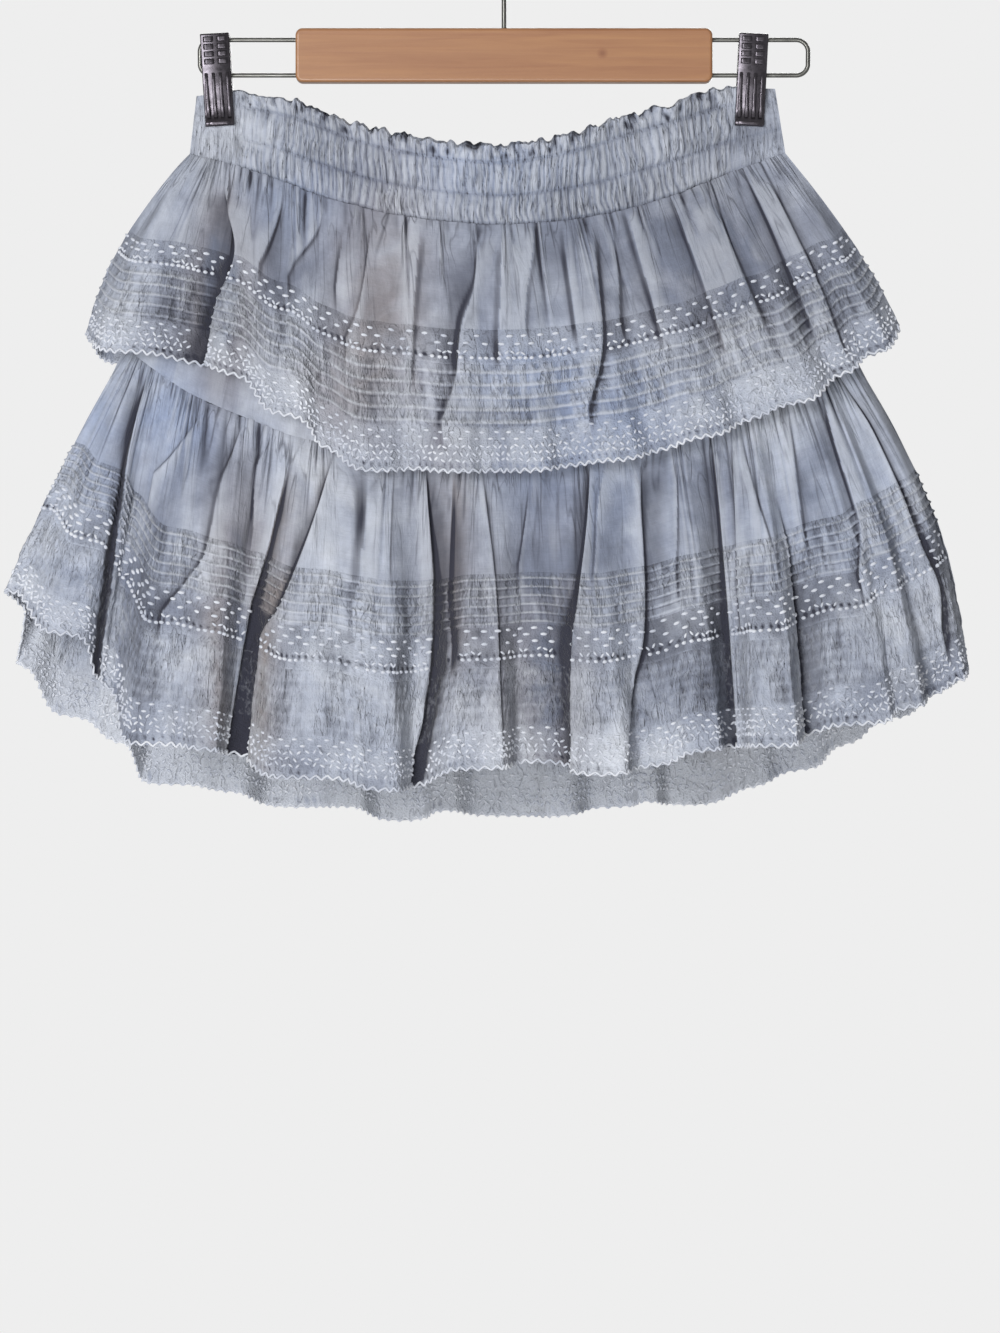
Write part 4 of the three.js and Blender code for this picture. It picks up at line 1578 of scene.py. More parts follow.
@dataclass
class Ruffle:
    """One side of a tier: a gathered strip of bands that hangs in flutes.

    Attributes:
        tier: the ruffle that it is a side of.
        face: the side of the skirt.
        flutes: its flutes' table.
        swell: how its sides bow out.
        bands: its strips, from seam to hem.
        folds: the listed folds.
        drop: its length from seam to hem at the middle.
        step: the grid's step along the hem.
        row: the grid's step down.
        seed: picks its small creases.
    """

    tier: Tier
    face: Face
    flutes: Sequence[Sequence[float]]
    swell: Swell
    bands: tuple[Band, ...]
    folds: tuple[Fold, ...]
    drop: float
    step: float
    row: float
    seed: int
    cloth: RuffleCloth = field(init=False)

    def __post_init__(self) -> None:
        """Makes the surface and draws the small creases."""
        self.cloth = RuffleCloth(self.face, self.flutes, self.swell, self.tier is Tier.UPPER)
        rng = np.random.default_rng(self.seed)
        count = int(self.cloth.length / 13)
        self.creases = np.stack(
            [
                np.sort(rng.uniform(4, self.cloth.length - 4, count)),
                rng.uniform(0.08, 0.5, count),
                rng.uniform(-9, 9, count),
                rng.uniform(0.4, 1.5, count),
                rng.uniform(0.9, 1.9, count),
            ],
            1,
        )
        short = int(self.cloth.length / 8)
        self.puckers = np.stack(
            [
                rng.uniform(2, self.cloth.length - 2, short),
                rng.uniform(0.03, 0.13, short),
                rng.uniform(-4, 4, short),
                rng.uniform(0.3, 0.9, short),
                rng.uniform(1.4, 2.4, short),
            ],
            1,
        )
        self.noise = Crumple(self.seed + 1)
        self.paths = [(fold, self.path_of(fold)) for fold in self.folds]

    def path_of(self, fold: Fold) -> SmoothCurve:
        """Where a fold runs on the cloth.

        Args:
            fold: the fold.

        Returns:
            Its place along the hem at each down.
        """
        places = [self.cloth.place_of(x, down) for x, down in fold.line]
        return SmoothCurve([down for _, down in fold.line], places)

    def add_creases(self, relief: Relief, places: np.ndarray, downs: np.ndarray) -> None:
        """Adds the thin creases that run down from the gathered seam.

        Args:
            relief: what they are added to.
            places: the grid's places.
            downs: the grid's heights.
        """
        down = downs[:, None]
        for place, length, lean, depth, width in np.concatenate([self.creases, self.puckers]):
            if downs[0] > length:
                continue
            reach = 7 * width + abs(lean) + 3
            picked = np.abs(places - place) < reach
            away = places[None, picked] - place - lean * down - 0.8 * np.sin(9 * down + place)
            strength = np.clip(1 - down / length, 0, 1) ** 0.7 * (0.5 + 0.5 * np.minimum(1, down / 0.03))
            trough = -np.exp(-np.abs(away) / width)
            brow = 0.5 * np.exp(-(((np.abs(away) - 2.4 * width) / (1.5 * width)) ** 2))
            relief.lift[:, picked] += depth * strength * (trough + brow)
            # Painted shade along each crease's trough.
            relief.shade[:, picked] += 0.68 * depth**0.7 * strength * np.exp(-((away / (0.6 * width)) ** 2))

    def add_folds(self, relief: Relief, places: np.ndarray, downs: np.ndarray) -> None:
        """Adds the listed folds.

        Args:
            relief: what they are added to.
            places: the grid's places.
            downs: the grid's heights.
        """
        down = downs[:, None]
        for fold, path in self.paths:
            top, foot = fold.line[0][1], fold.line[-1][1]
            come = smooth_step(top - 0.04, top + 0.16, down)
            leave = 1 - smooth_step(foot, foot + 0.14, down) if foot < 0.95 else np.ones_like(down)
            strength = come * leave
            away = places[None, :] - path(down)
            turn = np.tanh(away / 2.0)
            fade = np.exp(-((away / fold.reach) ** 2))
            relief.lift += fold.high * fold.height * 0.5 * strength * turn * fade
            relief.slide -= fold.lap * 0.5 * strength * turn * fade
            # Painted shade beside each fold's upper side: a dark gap, a softer fall-off and brown in it.
            under = np.maximum(0, -away * fold.high - 0.75 * fold.lap * strength)
            low_side = -away * fold.high > -0.7
            wide = 1.2 + (fold.gap - 1.2) * smooth_step(fold.open_at - 0.25, fold.open_at, down)
            flicker = 0.85 + 0.4 * self.noise(down * 9 + places[None, :] / 5, fold.line[0][0])
            mouth = np.exp(-((under / wide) ** 3)) * low_side
            relief.shade += fold.dark * strength * mouth * flicker
            relief.shade += 0.3 * fold.dark * strength * np.exp(-under / (1.6 * fold.gap)) * low_side
            relief.warm += 0.7 * fold.warm * strength * np.exp(-under / (2 * fold.gap)) * low_side

    def relief(self, band: Band, start: float, places: np.ndarray, downs: np.ndarray) -> Relief:
        """What a band's cloth adds to the ruffle's surface.

        Args:
            band: the strip.
            start: where it starts.
            places: the grid's places.
            downs: the grid's heights.

        Returns:
            The relief on the grid.
        """
        relief = Relief.flat(places, downs)
        down, place = downs[:, None], places[None, :]
        mm_down = down * self.drop
        self.add_creases(relief, places, downs)
        if self.face is Face.FRONT:
            self.add_folds(relief, places, downs)
        # seen falls to 0 deep in painted shade; it keeps painted paleness out of that shade.
        seen = 1 - np.clip(relief.shade * 1.1, 0, 1)
        body = smooth_step(0.0, 0.12, down)
        relief.lift += 0.9 * body * self.noise(place / 19, mm_down / 60)
        relief.lift += 0.4 * self.noise(place / 7.5 + 40, mm_down / 24)
        edge = np.minimum(down - start, band.end - down)
        middle = smooth_step(0, 0.012, edge)
        seam = np.exp(-(((down - start) / 0.006) ** 2)) * (start > 0)
        relief.shade += 0.3 * seam
        if band.tucks:
            phase = (down - start) / (band.end - start) * band.tucks % 1.0
            tuck = smooth_step(0.35, 0.7, phase) * (1 - smooth_step(0.72, 0.84, phase))
            ripple = self.noise(place / 2.2 + 11, mm_down / 13)
            ripple = ripple + 0.6 * self.noise(place / 3.7, mm_down / 26 + 5)
            relief.lift += middle * (1.15 * tuck + 0.7 * ripple * (1 - 0.6 * tuck))
            # Painted highlight on the tucks' crests, partly wash wear, painted shade in the puckers' hollows
            # and a painted shadow below each tuck.
            relief.shade -= 0.34 * middle * tuck * seen
            relief.shade += 0.2 * middle * np.maximum(0, -ripple) * (1 - tuck) - 0.06
            relief.shade += 0.3 * middle * np.exp(-(((phase - 0.9) / 0.08) ** 2))
        elif band.weave is Weave.GAUZE:
            slant = place + 0.35 * mm_down
            relief.lift += middle * 0.6 * self.noise(slant / 2.2 + 9, mm_down / 8)
            relief.lift += middle * 0.4 * self.noise(place / 5.6 + 70, mm_down / 17)
            # The gauze is made darker overall, and paler along its threads.
            relief.shade += middle * (0.17 - 0.07 * self.noise(slant / 2.6 + 9, mm_down / 11) * seen)
            for line in (0.14, 0.32, 0.5, 0.68, 0.86):
                thread = np.exp(-(((down - start) / (band.end - start) - line) / 0.035) ** 2)
                relief.shade -= 0.18 * thread * seen
                relief.lift += 0.3 * thread
        elif band.weave is Weave.NET:
            relief.lift += middle * 0.4 * self.noise(place / 4.0 + 21, mm_down / 6)
            # Insertions are made darker and edgings paler.
            relief.shade += 0.3 * middle if band.end < 1 else -0.24
        # Painted light: the back's lower hem, whose inside shows below the front, is painted much paler.
        if self.face is Face.BACK and self.tier is Tier.LOWER:
            relief.shade -= 1.2 * smooth_step(0.75, 0.9, down)
        # The holes are painted dark spots: painted shade where the cloth is open.
        for line, pitch in band.holes:
            wave = 0.8 * self.noise(place / 6 + 63, line)
            row = np.exp(-(((down - line) * self.drop + wave) / 1.1) ** 2)
            beat = np.cos(np.pi * place / pitch) ** 4
            relief.shade += 1.7 * row * beat * (0.7 + 0.5 * self.noise(place / 9 + 4, line))
        return relief

    def rows_of(self, band: Band, start: float) -> np.ndarray:
        """The heights of a band's grid, with rows close together at its tucks' edges.

        Args:
            band: the strip.
            start: where it starts.

        Returns:
            The heights.
        """
        if not band.tucks:
            count = max(4, round((band.end - start) * self.drop / self.row))
            return np.linspace(start, band.end, count + 1)
        parts = np.array([0, 0.2, 0.36, 0.48, 0.58, 0.68, 0.76, 0.84, 0.92])
        whole = (np.arange(band.tucks)[:, None] + parts[None, :]).ravel() / band.tucks
        return np.append(start + whole * (band.end - start), band.end)

    def make(self, wardrobe: Wardrobe) -> None:
        """Makes the bands with their trims.

        Args:
            wardrobe: the finishes.
        """
        places = np.linspace(0, self.cloth.length, round(self.cloth.length / self.step) + 1)
        start = 0.0
        for number, band in enumerate(self.bands):
            downs = self.rows_of(band, start)
            skin = Skin.over(self.cloth, places, downs, self.relief(band, start, places, downs))
            node = f"{self.tier.value}_{band.name}_{self.face.label}"
            piece = cloth_piece(f"{node}_cloth", self.cloth, skin, wardrobe.cotton[band.weave], self.drop)
            dress(piece, [node])
            if band.trims:
                mould = Mould()
                for index, trim in enumerate(band.trims):
                    trim_row(mould, skin, trim, self.seed + 31 * number + index)
                    inside = self.face is Face.BACK and self.tier is Tier.LOWER and band.end == 1
                    if inside and trim.kind in (Work.DASH, Work.LEAF):
                        trim_row(mould, skin, trim, self.seed + 31 * number + index, -1)
                dress(mould.cast(f"{node}_trim", wardrobe.thread))
            start = band.end


@dataclass
class Waistband:
    """One side of the waistband: a gathered frill over two shirred elastic channels."""

    face: Face
    step: float = 0.6
    row: float = 1.0
    pitch: float = 3.7
    seed: int = 5
    height: float = 42.0
    flat: tuple[float, float] = (0.46, 0.043)

    def gathers(self, places: np.ndarray, offset: int) -> tuple[np.ndarray, np.ndarray]:
        """Rounded folds side by side, unevenly spaced.

        Args:
            places: the grid's places.
            offset: picks one of several patterns.

        Returns:
            Each place's height on its fold, 0 in a crease and about 1 on a crest, and how near it is
            to a crease.
        """
        rng = np.random.default_rng(self.seed + offset)
        borders = np.cumsum(rng.uniform(0.55, 1.45, 400) * self.pitch) - 3 * self.pitch
        tall = rng.uniform(0.55, 1.15, 401)
        cell = np.searchsorted(borders, places)
        low, high = borders[cell - 1], borders[cell]
        across = (places - low) / (high - low) * 2 - 1
        return tall[cell] * np.sqrt(np.maximum(0, 1 - across**2)), np.abs(across) ** 6

    def make(self, wardrobe: Wardrobe) -> None:
        """Makes the waistband.

        Args:
            wardrobe: the finishes.
        """
        cloth = WaistCloth(self.face)
        places = np.linspace(0, cloth.length, round(cloth.length / self.step) + 1)
        downs = np.linspace(0, 1, round(self.height / self.row) + 1)
        relief = Relief.flat(places, downs)
        down = downs[:, None]
        noise = Crumple(self.seed + 9)
        held = self.held(WAIST_LEFT + places)[None, :]
        channels = ((0.0, 0.2, 0, 2.3), (0.2, 0.62, 1, 1.5), (0.62, 1.0, 2, 1.5))
        wander = 1.6 * noise(places[None, :] / 14, down * 6)
        for start, end, pattern, height in channels:
            inside = (down >= start) * (down < end if end < 1 else down <= end)
            crest, crease = self.gathers(places[None, :] + wander, pattern)
            across = (down - start) / (end - start)
            puff = np.sqrt(np.maximum(0, 1 - (2 * across - 1) ** 2)) if start else 1 - across**2
            puff = 0.25 + 0.75 * puff
            relief.lift += inside * puff * (crest * height - 0.4) * (1 - 0.8 * held)
            # Painted shade in the gathers' creases; the rest is made a little paler.
            relief.shade += inside * (crease * 0.9 * (1 - 0.8 * held) - 0.22)
        for seam, dark in ((0.2, 0.6), (0.62, 0.3), (0.995, 0.9)):
            line = np.exp(-(((down - seam) / 0.02) ** 2))
            broken = 0.6 + 0.6 * noise(places[None, :] / 5 + 31 * seam, 0.5)
            relief.lift -= 0.7 * line * (1 - held)
            relief.shade += dark * line * broken
        relief.lift += (1 - held) * 0.35 * noise(places[None, :] / 3 + 50, down * 14)
        frill = np.clip(1 - down / 0.2, 0, 1)
        curl = noise(places[None, :] / 3.4 + 7, down * 9) + 0.6 * noise(places[None, :] / 1.9 + 17, down * 14)
        relief.lift += (1 - held) * frill * 2.8 * curl
        # Painted shade in the frill's hollows.
        relief.shade += (1 - held) * 0.9 * np.maximum(0, -curl) * np.minimum(1, frill * 4)
        skin = Skin.over(cloth, places, downs, relief)
        tips = 1.5 * noise(places[None, :] / 4 + 90, 0.0) + 0.9 * noise(places[None, :] / 1.8 + 60, 0.0)
        skin.points[..., 2] += frill * (1 - held) * (tips - 0.5)
        name = f"waistband_{self.face.label}"
        piece = cloth_piece(f"{name}_cloth", cloth, skin, wardrobe.cotton[Weave.SHIRRED], self.height)
        dress(piece, [name])

    def held(self, x: np.ndarray) -> np.ndarray:
        """How flat the clips and side seams hold the band.

        Args:
            x: places across.

        Returns:
            1 where it is held flat, 0 where it is free.
        """
        near = np.minimum(np.abs(x - CLIP_LEFT), np.abs(x - CLIP_RIGHT))
        return 1 - smooth_step(7.0, 17.0, near) * (x > CLIP_LEFT - 0.5) * (x < CLIP_RIGHT + 1)


@dataclass
class Yoke:
    """One side of the plain base under the upper tier."""

    face: Face
    step: float = 1.8
    seed: int = 77
    drop: float = 125.0
    flat: tuple[float, float] = (0.4, 0.125)

    def make(self, wardrobe: Wardrobe) -> None:
        """Makes the yoke.

        Args:
            wardrobe: the finishes.
        """
        cloth = YokeCloth(self.face)
        places = np.linspace(0, cloth.length, round(cloth.length / self.step) + 1)
        downs = np.linspace(0, 1, 44)
        relief = Relief.flat(places, downs)
        noise = Crumple(self.seed)
        relief.lift += 0.5 * noise(places[None, :] / 12, downs[:, None] * 4)
        crease = noise(places[None, :] / 7 + 30, downs[:, None] * 1.2)
        relief.lift += 0.9 * crease
        # Painted shade along the creases.
        relief.shade += 0.5 * np.exp(-((crease / 0.16) ** 2))
        skin = Skin.over(cloth, places, downs, relief)
        name = f"yoke_{self.face.label}"
        piece = cloth_piece(f"{name}_cloth", cloth, skin, wardrobe.cotton[Weave.PLAIN], self.drop)
        dress(piece, [name])


@dataclass
class Skirt:
    """The whole skirt."""

    fine: float = 0.95
    coarse: float = 2.3

    def make(self, wardrobe: Wardrobe) -> None:
        """Makes every cloth piece, from the waist down.

        Args:
            wardrobe: the finishes.
        """
        tables = {
            (Tier.UPPER, Face.FRONT): (UPPER_FRONT, UPPER_FOLDS, 142.0),
            (Tier.UPPER, Face.BACK): (UPPER_BACK, (), 145.0),
            (Tier.LOWER, Face.FRONT): (LOWER_FRONT, LOWER_FOLDS, 182.0),
            (Tier.LOWER, Face.BACK): (LOWER_BACK, (), 205.0),
        }
        for face in Face:
            Waistband(face).make(wardrobe)
            Yoke(face).make(wardrobe)
        for number, ((tier, face), (flutes, folds, drop)) in enumerate(tables.items()):
            step = self.fine if face is Face.FRONT else self.coarse
            swell, bands = Swell(4, 12), LOWER_BANDS
            if tier is Tier.UPPER:
                swell, bands = Swell(8.5, 5), UPPER_BANDS
            seed = 100 * number + 3
            ruffle = Ruffle(tier, face, flutes, swell, bands, folds, drop, step, step * 1.5, seed)
            ruffle.make(wardrobe)


@dataclass
class HangerBar:
    """The wooden bar with its rounded corners and eased edges."""

    length: float = 229.0
    height: float = 29.7
    depth: float = 14.0
    top: float = -62.0
    corner: float = 4.0
    ease: float = 1.6

    def outline(self, inset: float) -> np.ndarray:
        """The bar's outline seen from the front, drawn in by an inset.

        Args:
            inset: how far.

        Returns:
            Its points, x and z.
        """
        radius = max(0.5, self.corner - inset)
        half_x, half_z = self.length / 2 - inset - radius, self.height / 2 - inset - radius
        points = []
        for quarter, (sx, sz) in enumerate(((1, 1), (-1, 1), (-1, -1), (1, -1))):
            for turn in np.radians(np.linspace(90 * quarter, 90 * quarter + 90, 9)):
                points.append((sx * half_x + radius * math.cos(turn), sz * half_z + radius * math.sin(turn)))
        return np.array(points)

    def make(self, wardrobe: Wardrobe) -> None:
        """Makes the bar.

        Args:
            wardrobe: the finishes.
        """
        rings = []
        profile = []
        for turn in np.radians(np.linspace(0, 90, 6)):
            y = -self.depth / 2 + self.ease * (1 - math.cos(turn))
            profile.append((self.ease * (1 - math.sin(turn)), y))
        profile = profile + [(inset, -y) for inset, y in reversed(profile)]
        middle = self.top - self.height / 2
        for inset, y in profile:
            flat = self.outline(inset)
            rings.append(np.stack([flat[:, 0], np.full(len(flat), y), flat[:, 1] + middle], -1))
        grid = np.array(rings)
        mould = Mould()
        mould.add_grid(grid, wrap=True)
        for end in (0, -1):
            mould.add(grid[end], np.arange(grid.shape[1])[None, :])
        bar = mould.cast("hanger_bar_wood", wardrobe.wood)
        dress(bar, ["hanger_bar"])


def wire_piece(name: str, path: np.ndarray, radius: float, finish: bpy.types.Material, node: str) -> None:
    """Makes a bent round wire that lies in the hanger's plane.

    Args:
        name: the piece's name.
        path: its points.
        radius: its radius.
        finish: its material.
        node: the solid that it stands for.
    """
    mould = Mould()
    out = np.tile([0.0, 1.0, 0.0], (len(path), 1))
    tube(mould, path, out, radius, 14)
    dress(mould.cast(name, finish), [node])


@dataclass
class HangerWires:
    """The hook and the two U-shaped wires."""

    radius: float = 1.25
    high: float = -68.0
    low: float = -87.5
    reach: float = 168.5
    bend: float = 6.5
    start: float = 103.0
    hook_radius: float = 1.3
    eye: float = 17.0
    stem: tuple[float, float] = (-76.0, -44.0)
    sweep: tuple[float, float] = (-52.0, 205.0)
    pull: float = 7.0

    def side(self, end: int) -> np.ndarray:
        """A side wire's points.

        Args:
            end: -1 on the left, 1 on the right.

        Returns:
            The points.
        """
        turn = self.reach - self.radius
        flat = turn - self.bend
        straight = [(x, self.high) for x in np.linspace(self.start, flat, 6)]
        bends = np.radians(np.linspace(90, -90, 19))
        points = []
        for angle in bends:
            middle = self.high - self.bend if angle >= 0 else self.low + self.bend
            points.append((flat + self.bend * math.cos(angle), middle + self.bend * math.sin(angle)))
        back = [(x, self.low) for x in np.linspace(flat, self.start, 6)]
        return np.array([(end * x, 0.0, z) for x, z in straight[:-1] + points + back[1:]])

    def hook(self) -> np.ndarray:
        """The hook's points, from the bar up and round to its tip.

        Returns:
            The points.
        """
        centre = self.eye + self.hook_radius
        stem = [(0.0, 0.0, z) for z in np.linspace(*self.stem, 10)]
        turns = np.radians(np.linspace(*self.sweep, 46))
        sweep = [(centre * math.cos(turn), 0.0, centre * math.sin(turn) - self.eye) for turn in turns]
        start, end = Vector(stem[-1]), Vector(sweep[0])
        pull_start = start + Vector((0, 0, self.pull))
        pull_end = end - Vector((math.sin(math.radians(-self.sweep[0])), 0, 0.62)) * self.pull
        lean = []
        for t in np.linspace(0.15, 0.85, 7):
            s = 1 - t
            point = start * s**3 + pull_start * 3 * t * s**2 + pull_end * 3 * t * t * s + end * t**3
            lean.append(tuple(point))
        return np.array(stem + lean + sweep)

    def make(self, wardrobe: Wardrobe) -> None:
        """Makes the three wires.

        Args:
            wardrobe: the finishes.
        """
        wire_piece("hanger_hook_wire", self.hook(), self.hook_radius, wardrobe.chrome, "hanger_hook")
        for label, end in (("left", -1), ("right", 1)):
            node = f"hanger_wire_{label}"
            wire_piece(f"{node}_steel", self.side(end), self.radius, wardrobe.chrome, node)


@dataclass
class Clip:
    """A sprung clip: two bent jaws with ribs and grip squares, a coil and its pin."""

    label: str
    x: float
    tilt: float
    width: float = 16.0
    top: float = -64.8
    foot: float = -115.8
    shoulder: float = -93.0
    grip: float = -99.0
    back: float = 5.4
    thick: float = 1.7
    cloth: float = 3.05
    spring_z: float = -77.7

    def turned(self, points: np.ndarray) -> np.ndarray:
        """Points of the upright clip, in its place on the hanger.

        Args:
            points: the points, with x from the clip's middle.

        Returns:
            The points in the frame.
        """
        angle = math.radians(-self.tilt)
        middle = (self.top + self.foot) / 2
        x, y, z = points[..., 0], points[..., 1], points[..., 2] - middle
        turned_x = x * math.cos(angle) + z * math.sin(angle)
        turned_z = z * math.cos(angle) - x * math.sin(angle)
        return np.stack([turned_x + self.x, y, turned_z + middle], -1)

    def plate(self, mould: Mould, side: int) -> None:
        """Adds a jaw's bent plate.

        Args:
            mould: what it is added to.
            side: -1 on the front, 1 on the back.
        """
        outer = [
            (self.back + 0.5, self.top),
            (self.back + self.thick - 0.1, self.top - 0.2),
            (self.back + self.thick, self.top - 1.0),
            (self.back + self.thick, self.shoulder + 1),
            (self.back + self.thick - 0.3, self.shoulder - 2),
            (self.cloth + self.thick + 0.3, self.grip - 6),
            (self.cloth + self.thick, self.grip - 8),
            (self.cloth + self.thick, self.foot + 3.4),
            (self.cloth + 2.8, self.foot + 2.2),
            (self.cloth + 2.6, self.foot + 0.8),
            (self.cloth + 2.0, self.foot),
        ]
        inner = [
            (self.cloth, self.foot + 0.1),
            (self.cloth, self.grip),
            (self.back, self.shoulder + 1),
            (self.back, self.top - 0.4),
        ]
        profile = np.array(outer + inner)
        half = self.width / 2
        rows = [(-half, 0.5), (-half + 0.15, 0.2), (-half + 0.5, 0.0)]
        rows = rows + [(-x, inset) for x, inset in reversed(rows)]
        middle = profile.mean(0)
        grid = []
        for x, inset in rows:
            drawn = profile.copy()
            drawn[: len(outer), 0] -= inset * 0.8
            drawn[:, 1] += np.sign(middle[1] - drawn[:, 1]) * inset * 0.4
            grid.append(np.stack([np.full(len(drawn), x), side * drawn[:, 0], drawn[:, 1]], -1))
        rings = self.turned(np.array(grid))
        mould.add_grid(rings, wrap=True)
        for end in (0, -1):
            mould.add(rings[end], np.arange(rings.shape[1])[None, :])

    def pillow(
        self, mould: Mould, side: int, box: tuple[float, float, float, float], depth: float, height: float
    ) -> None:
        """Adds a rounded raised block to a jaw's face.

        Args:
            mould: what it is added to.
            side: -1 on the front, 1 on the back.
            box: its middle x and z, its width and its height.
            depth: where its foot lies.
            height: how far it stands out.
        """
        x, z, wide, tall = box
        t = np.linspace(-1, 1, 9)
        u, v = np.meshgrid(t, t)
        rise = (1 - u**6) ** 0.5 * (1 - v**8) ** 0.5
        points = np.stack([x + u * wide / 2, side * (depth + height * rise), z + v * tall / 2], -1)
        mould.add_grid(self.turned(points))

    def jaw(self, wardrobe: Wardrobe, face: Face) -> None:
        """Makes one jaw.

        Args:
            wardrobe: the finishes.
            face: the side of the skirt that it presses on.
        """
        side = face.value
        mould = Mould()
        self.plate(mould, side)
        front = self.back + self.thick
        for column in (-1, 1):
            for row in range(4):
                box = (column * 3.7, self.top - 3.2 - 4.1 * row, 6.2, 3.5)
                self.pillow(mould, side, box, front - 0.3, 1.0)
        for rib in (-1.5, -0.5, 0.5, 1.5):
            self.pillow(mould, side, (rib * 3.9, -97.5, 2.3, 27.0), front - 1.6, 2.3)
        self.pillow(mould, side, (0, self.foot + 1.6, self.width - 0.6, 2.2), self.cloth + 1.6, 1.6)
        node = f"clip_{self.label}_{face.label}_jaw"
        dress(mould.cast(f"{node}_steel", wardrobe.dark_chrome), [node])

    def coil(self, wardrobe: Wardrobe) -> None:
        """Makes the spring on its pin, between two cheeks.

        Args:
            wardrobe: the finishes.
        """
        mould = Mould()
        turns, radius, half = 9, 4.2, 5.4
        angle = np.linspace(0, 2 * np.pi * turns, 24 * turns)
        along = np.linspace(-half, half, len(angle))
        path = np.stack([along, radius * np.cos(angle), self.spring_z + radius * np.sin(angle)], -1)
        out = np.stack([np.zeros_like(angle), np.cos(angle), np.sin(angle)], -1)
        tube(mould, self.turned(path), out, 0.55, 8)
        pin = np.stack([np.linspace(-7.4, 7.4, 6), np.zeros(6), np.full(6, self.spring_z)], -1)
        tube(mould, self.turned(pin), np.tile([0.0, 1.0, 0.0], (6, 1)), 2.4, 14)
        sides = 28
        round_ = np.linspace(0, 2 * np.pi, sides, endpoint=False)
        rounded = np.abs(np.cos(round_)) ** 0.6 * np.sign(np.cos(round_))
        high = np.abs(np.sin(round_)) ** 0.6 * np.sign(np.sin(round_))
        for end in (-1, 1):
            cheek = []
            for x, size in ((6.7, 0.94), (6.85, 1.0), (7.35, 1.0), (7.5, 0.94)):
                level = self.spring_z + 6.6 * size * high
                cheek.append(np.stack([np.full(sides, end * x), 5.6 * size * rounded, level], -1))
            grid = self.turned(np.array(cheek))
            mould.add_grid(grid, wrap=True)
            mould.add(grid[0], np.arange(sides)[None, :])
            mould.add(grid[-1], np.arange(sides)[None, :])
        piece = mould.cast(f"clip_{self.label}_spring_steel", wardrobe.chrome)
        dress(piece, [f"clip_{self.label}_spring"])

    def make(self, wardrobe: Wardrobe) -> None:
        """Makes the clip.

        Args:
            wardrobe: the finishes.
        """
        for face in Face:
            self.jaw(wardrobe, face)
        self.coil(wardrobe)


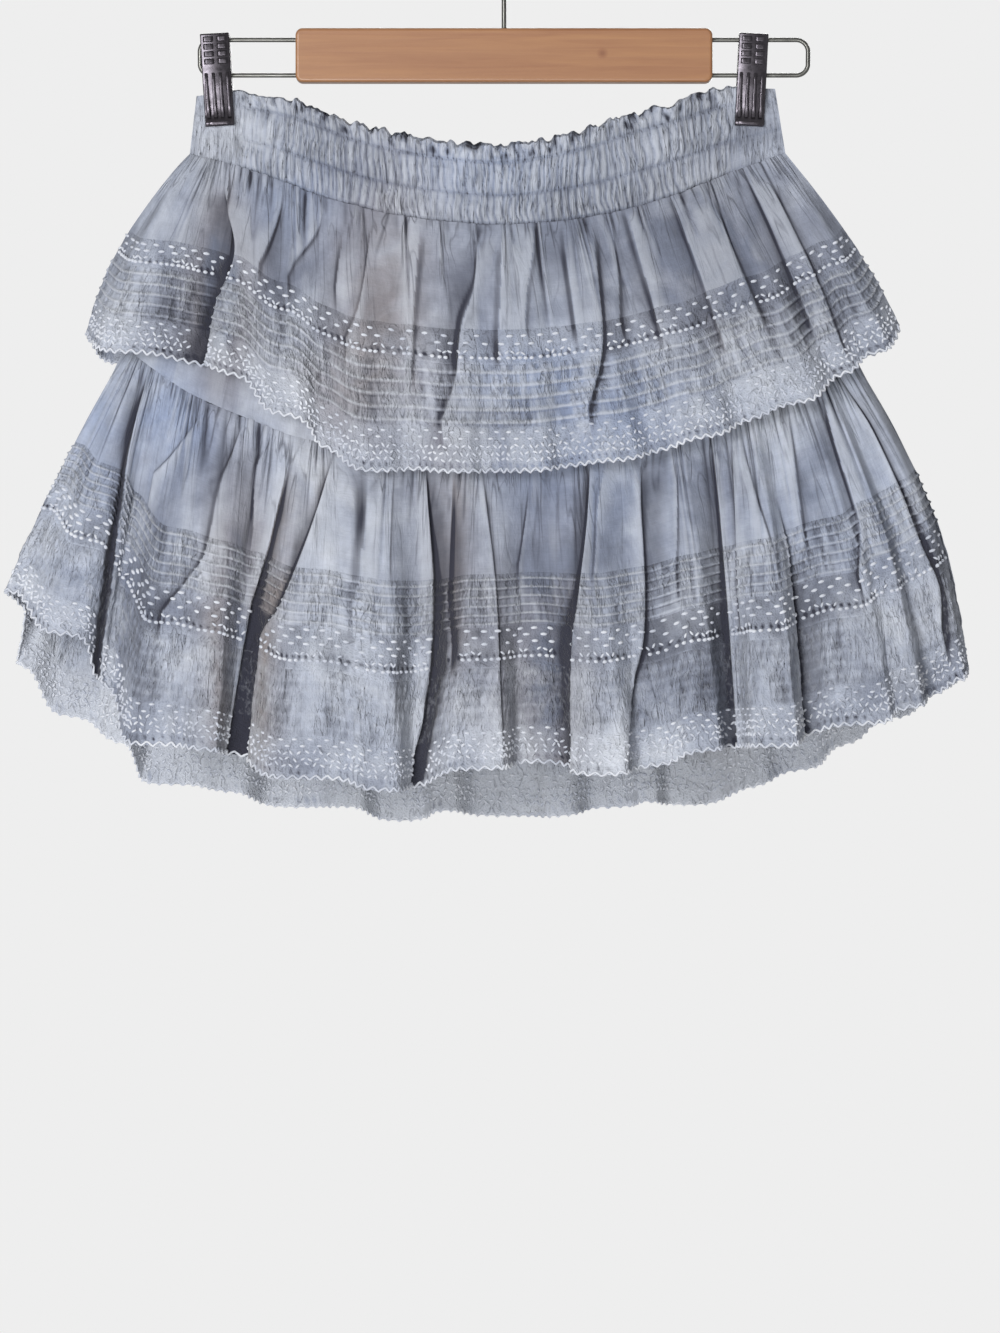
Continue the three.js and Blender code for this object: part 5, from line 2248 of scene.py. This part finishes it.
@dataclass
class Studio:
    """A pale floor, a pale backdrop, soft light and a camera square to the skirt.

    Attributes:
        width: how much the photograph shows from left to right, at the hanger's plane.
        middle: the photograph's middle, x and z.
        away: the camera's distance.
    """

    width: float = 550.0
    middle: tuple[float, float] = (-2.2, -412.6)
    away: float = 3500.0
    sensor: float = 36.0
    portrait: float = 1333 / 1000
    floor_z: float = -1050.0
    floor_rings: tuple[float, ...] = (5.0, 900.0, 1900.0)
    dome: float = 12000.0

    def camera(self) -> None:
        """Makes the camera."""
        data = bpy.data.cameras.new("camera")
        data.sensor_width = self.sensor
        data.lens = self.sensor * self.away / (self.width * self.portrait)
        data.clip_end = 100
        camera = bpy.data.objects.new("camera", data)
        camera.location = (self.middle[0] * MM, -self.away * MM, self.middle[1] * MM)
        camera.rotation_euler = (math.pi / 2, 0, 0)
        bpy.context.scene.collection.objects.link(camera)
        bpy.context.scene.camera = camera

    def surroundings(self) -> None:
        """Makes the floor and the backdrop."""
        turn = np.linspace(0, 2 * np.pi, 96, endpoint=False)
        level = np.full(len(turn), self.floor_z)
        rings = [np.stack([r * np.cos(turn), r * np.sin(turn), level], -1) for r in self.floor_rings]
        mould = Mould()
        mould.add_grid(np.array(rings), wrap=True)
        board = ShaderBoard("pale_floor")
        paper = board.noise(board.node("TexCoord", {}).outputs["Object"], 300.0, 3.0)
        fibre = board.span(paper, 0.3, 0.7, 0, 1)
        tone = board.blend(fibre, colour(205, 205, 205), colour(212, 212, 212))
        board.set(Base_Color=tone, Roughness=0.95)
        mould.cast("floor", board.material)
        self.backdrop()

    def backdrop(self) -> bpy.types.Object:
        """Makes a pale dome far around the scene, which only the camera sees.

        Returns:
            The dome.
        """
        turn = np.linspace(0, 2 * np.pi, 48, endpoint=False)
        rise = np.linspace(-math.pi / 2 + 0.02, math.pi / 2 - 0.02, 25)[:, None]
        flat = self.dome * np.cos(rise)
        grid = np.stack([flat * np.cos(turn), flat * np.sin(turn), self.dome * np.sin(rise) + 0 * turn], -1)
        mould = Mould()
        mould.add_grid(grid, wrap=True)
        board = ShaderBoard("backdrop")
        board.set(Base_Color=(0, 0, 0, 1), Specular_IOR_Level=0, Roughness=1, Emission_Strength=1)
        board.set(Emission_Color=colour(238, 238, 238))
        dome = mould.cast("backdrop", board.material)
        dome.visible_diffuse = False
        dome.visible_glossy = False
        dome.visible_transmission = False
        dome.visible_shadow = False
        return dome

    def light(self, name: str, at: tuple[float, float, float], size: float, power: float) -> None:
        """Adds a soft lamp that faces the skirt.

        Args:
            name: the lamp's name.
            at: its place, in metres.
            size: its width, in metres.
            power: its power, in watts.
        """
        data = bpy.data.lights.new(name, "AREA")
        data.size = size
        data.energy = power
        lamp = bpy.data.objects.new(name, data)
        lamp.location = at
        aim = Vector((-0.01, 0, -0.3)) - Vector(at)
        lamp.rotation_euler = aim.to_track_quat("-Z", "Y").to_euler()
        bpy.context.scene.collection.objects.link(lamp)

    def make(self) -> None:
        """Makes the studio."""
        self.camera()
        self.surroundings()
        self.light("key", (-1.3, -2.8, 0.15), 0.8, 46)
        self.light("fill", (-0.5, -2.3, -0.95), 1.0, 40)
        self.light("rear", (0.4, 2.6, 0.6), 1.4, 52)
        world = bpy.data.worlds.new("studio")
        world.use_nodes = True
        backdrop = world.node_tree.nodes["Background"]
        backdrop.inputs["Color"].default_value = colour(238, 238, 238)
        backdrop.inputs["Strength"].default_value = 0.45
        bpy.context.scene.world = world
        bpy.context.scene.view_settings.view_transform = "Standard"


def main() -> None:
    """Builds the studio, the skirt and the hanger."""
    logging.basicConfig(level=logging.INFO, format="%(message)s")
    Studio().make()
    wardrobe = Wardrobe()
    Skirt().make(wardrobe)
    HangerBar().make(wardrobe)
    HangerWires().make(wardrobe)
    for clip in (Clip("left", CLIP_LEFT, 3.4), Clip("right", CLIP_RIGHT, -2.9)):
        clip.make(wardrobe)


if __name__ == "__main__":
    main()
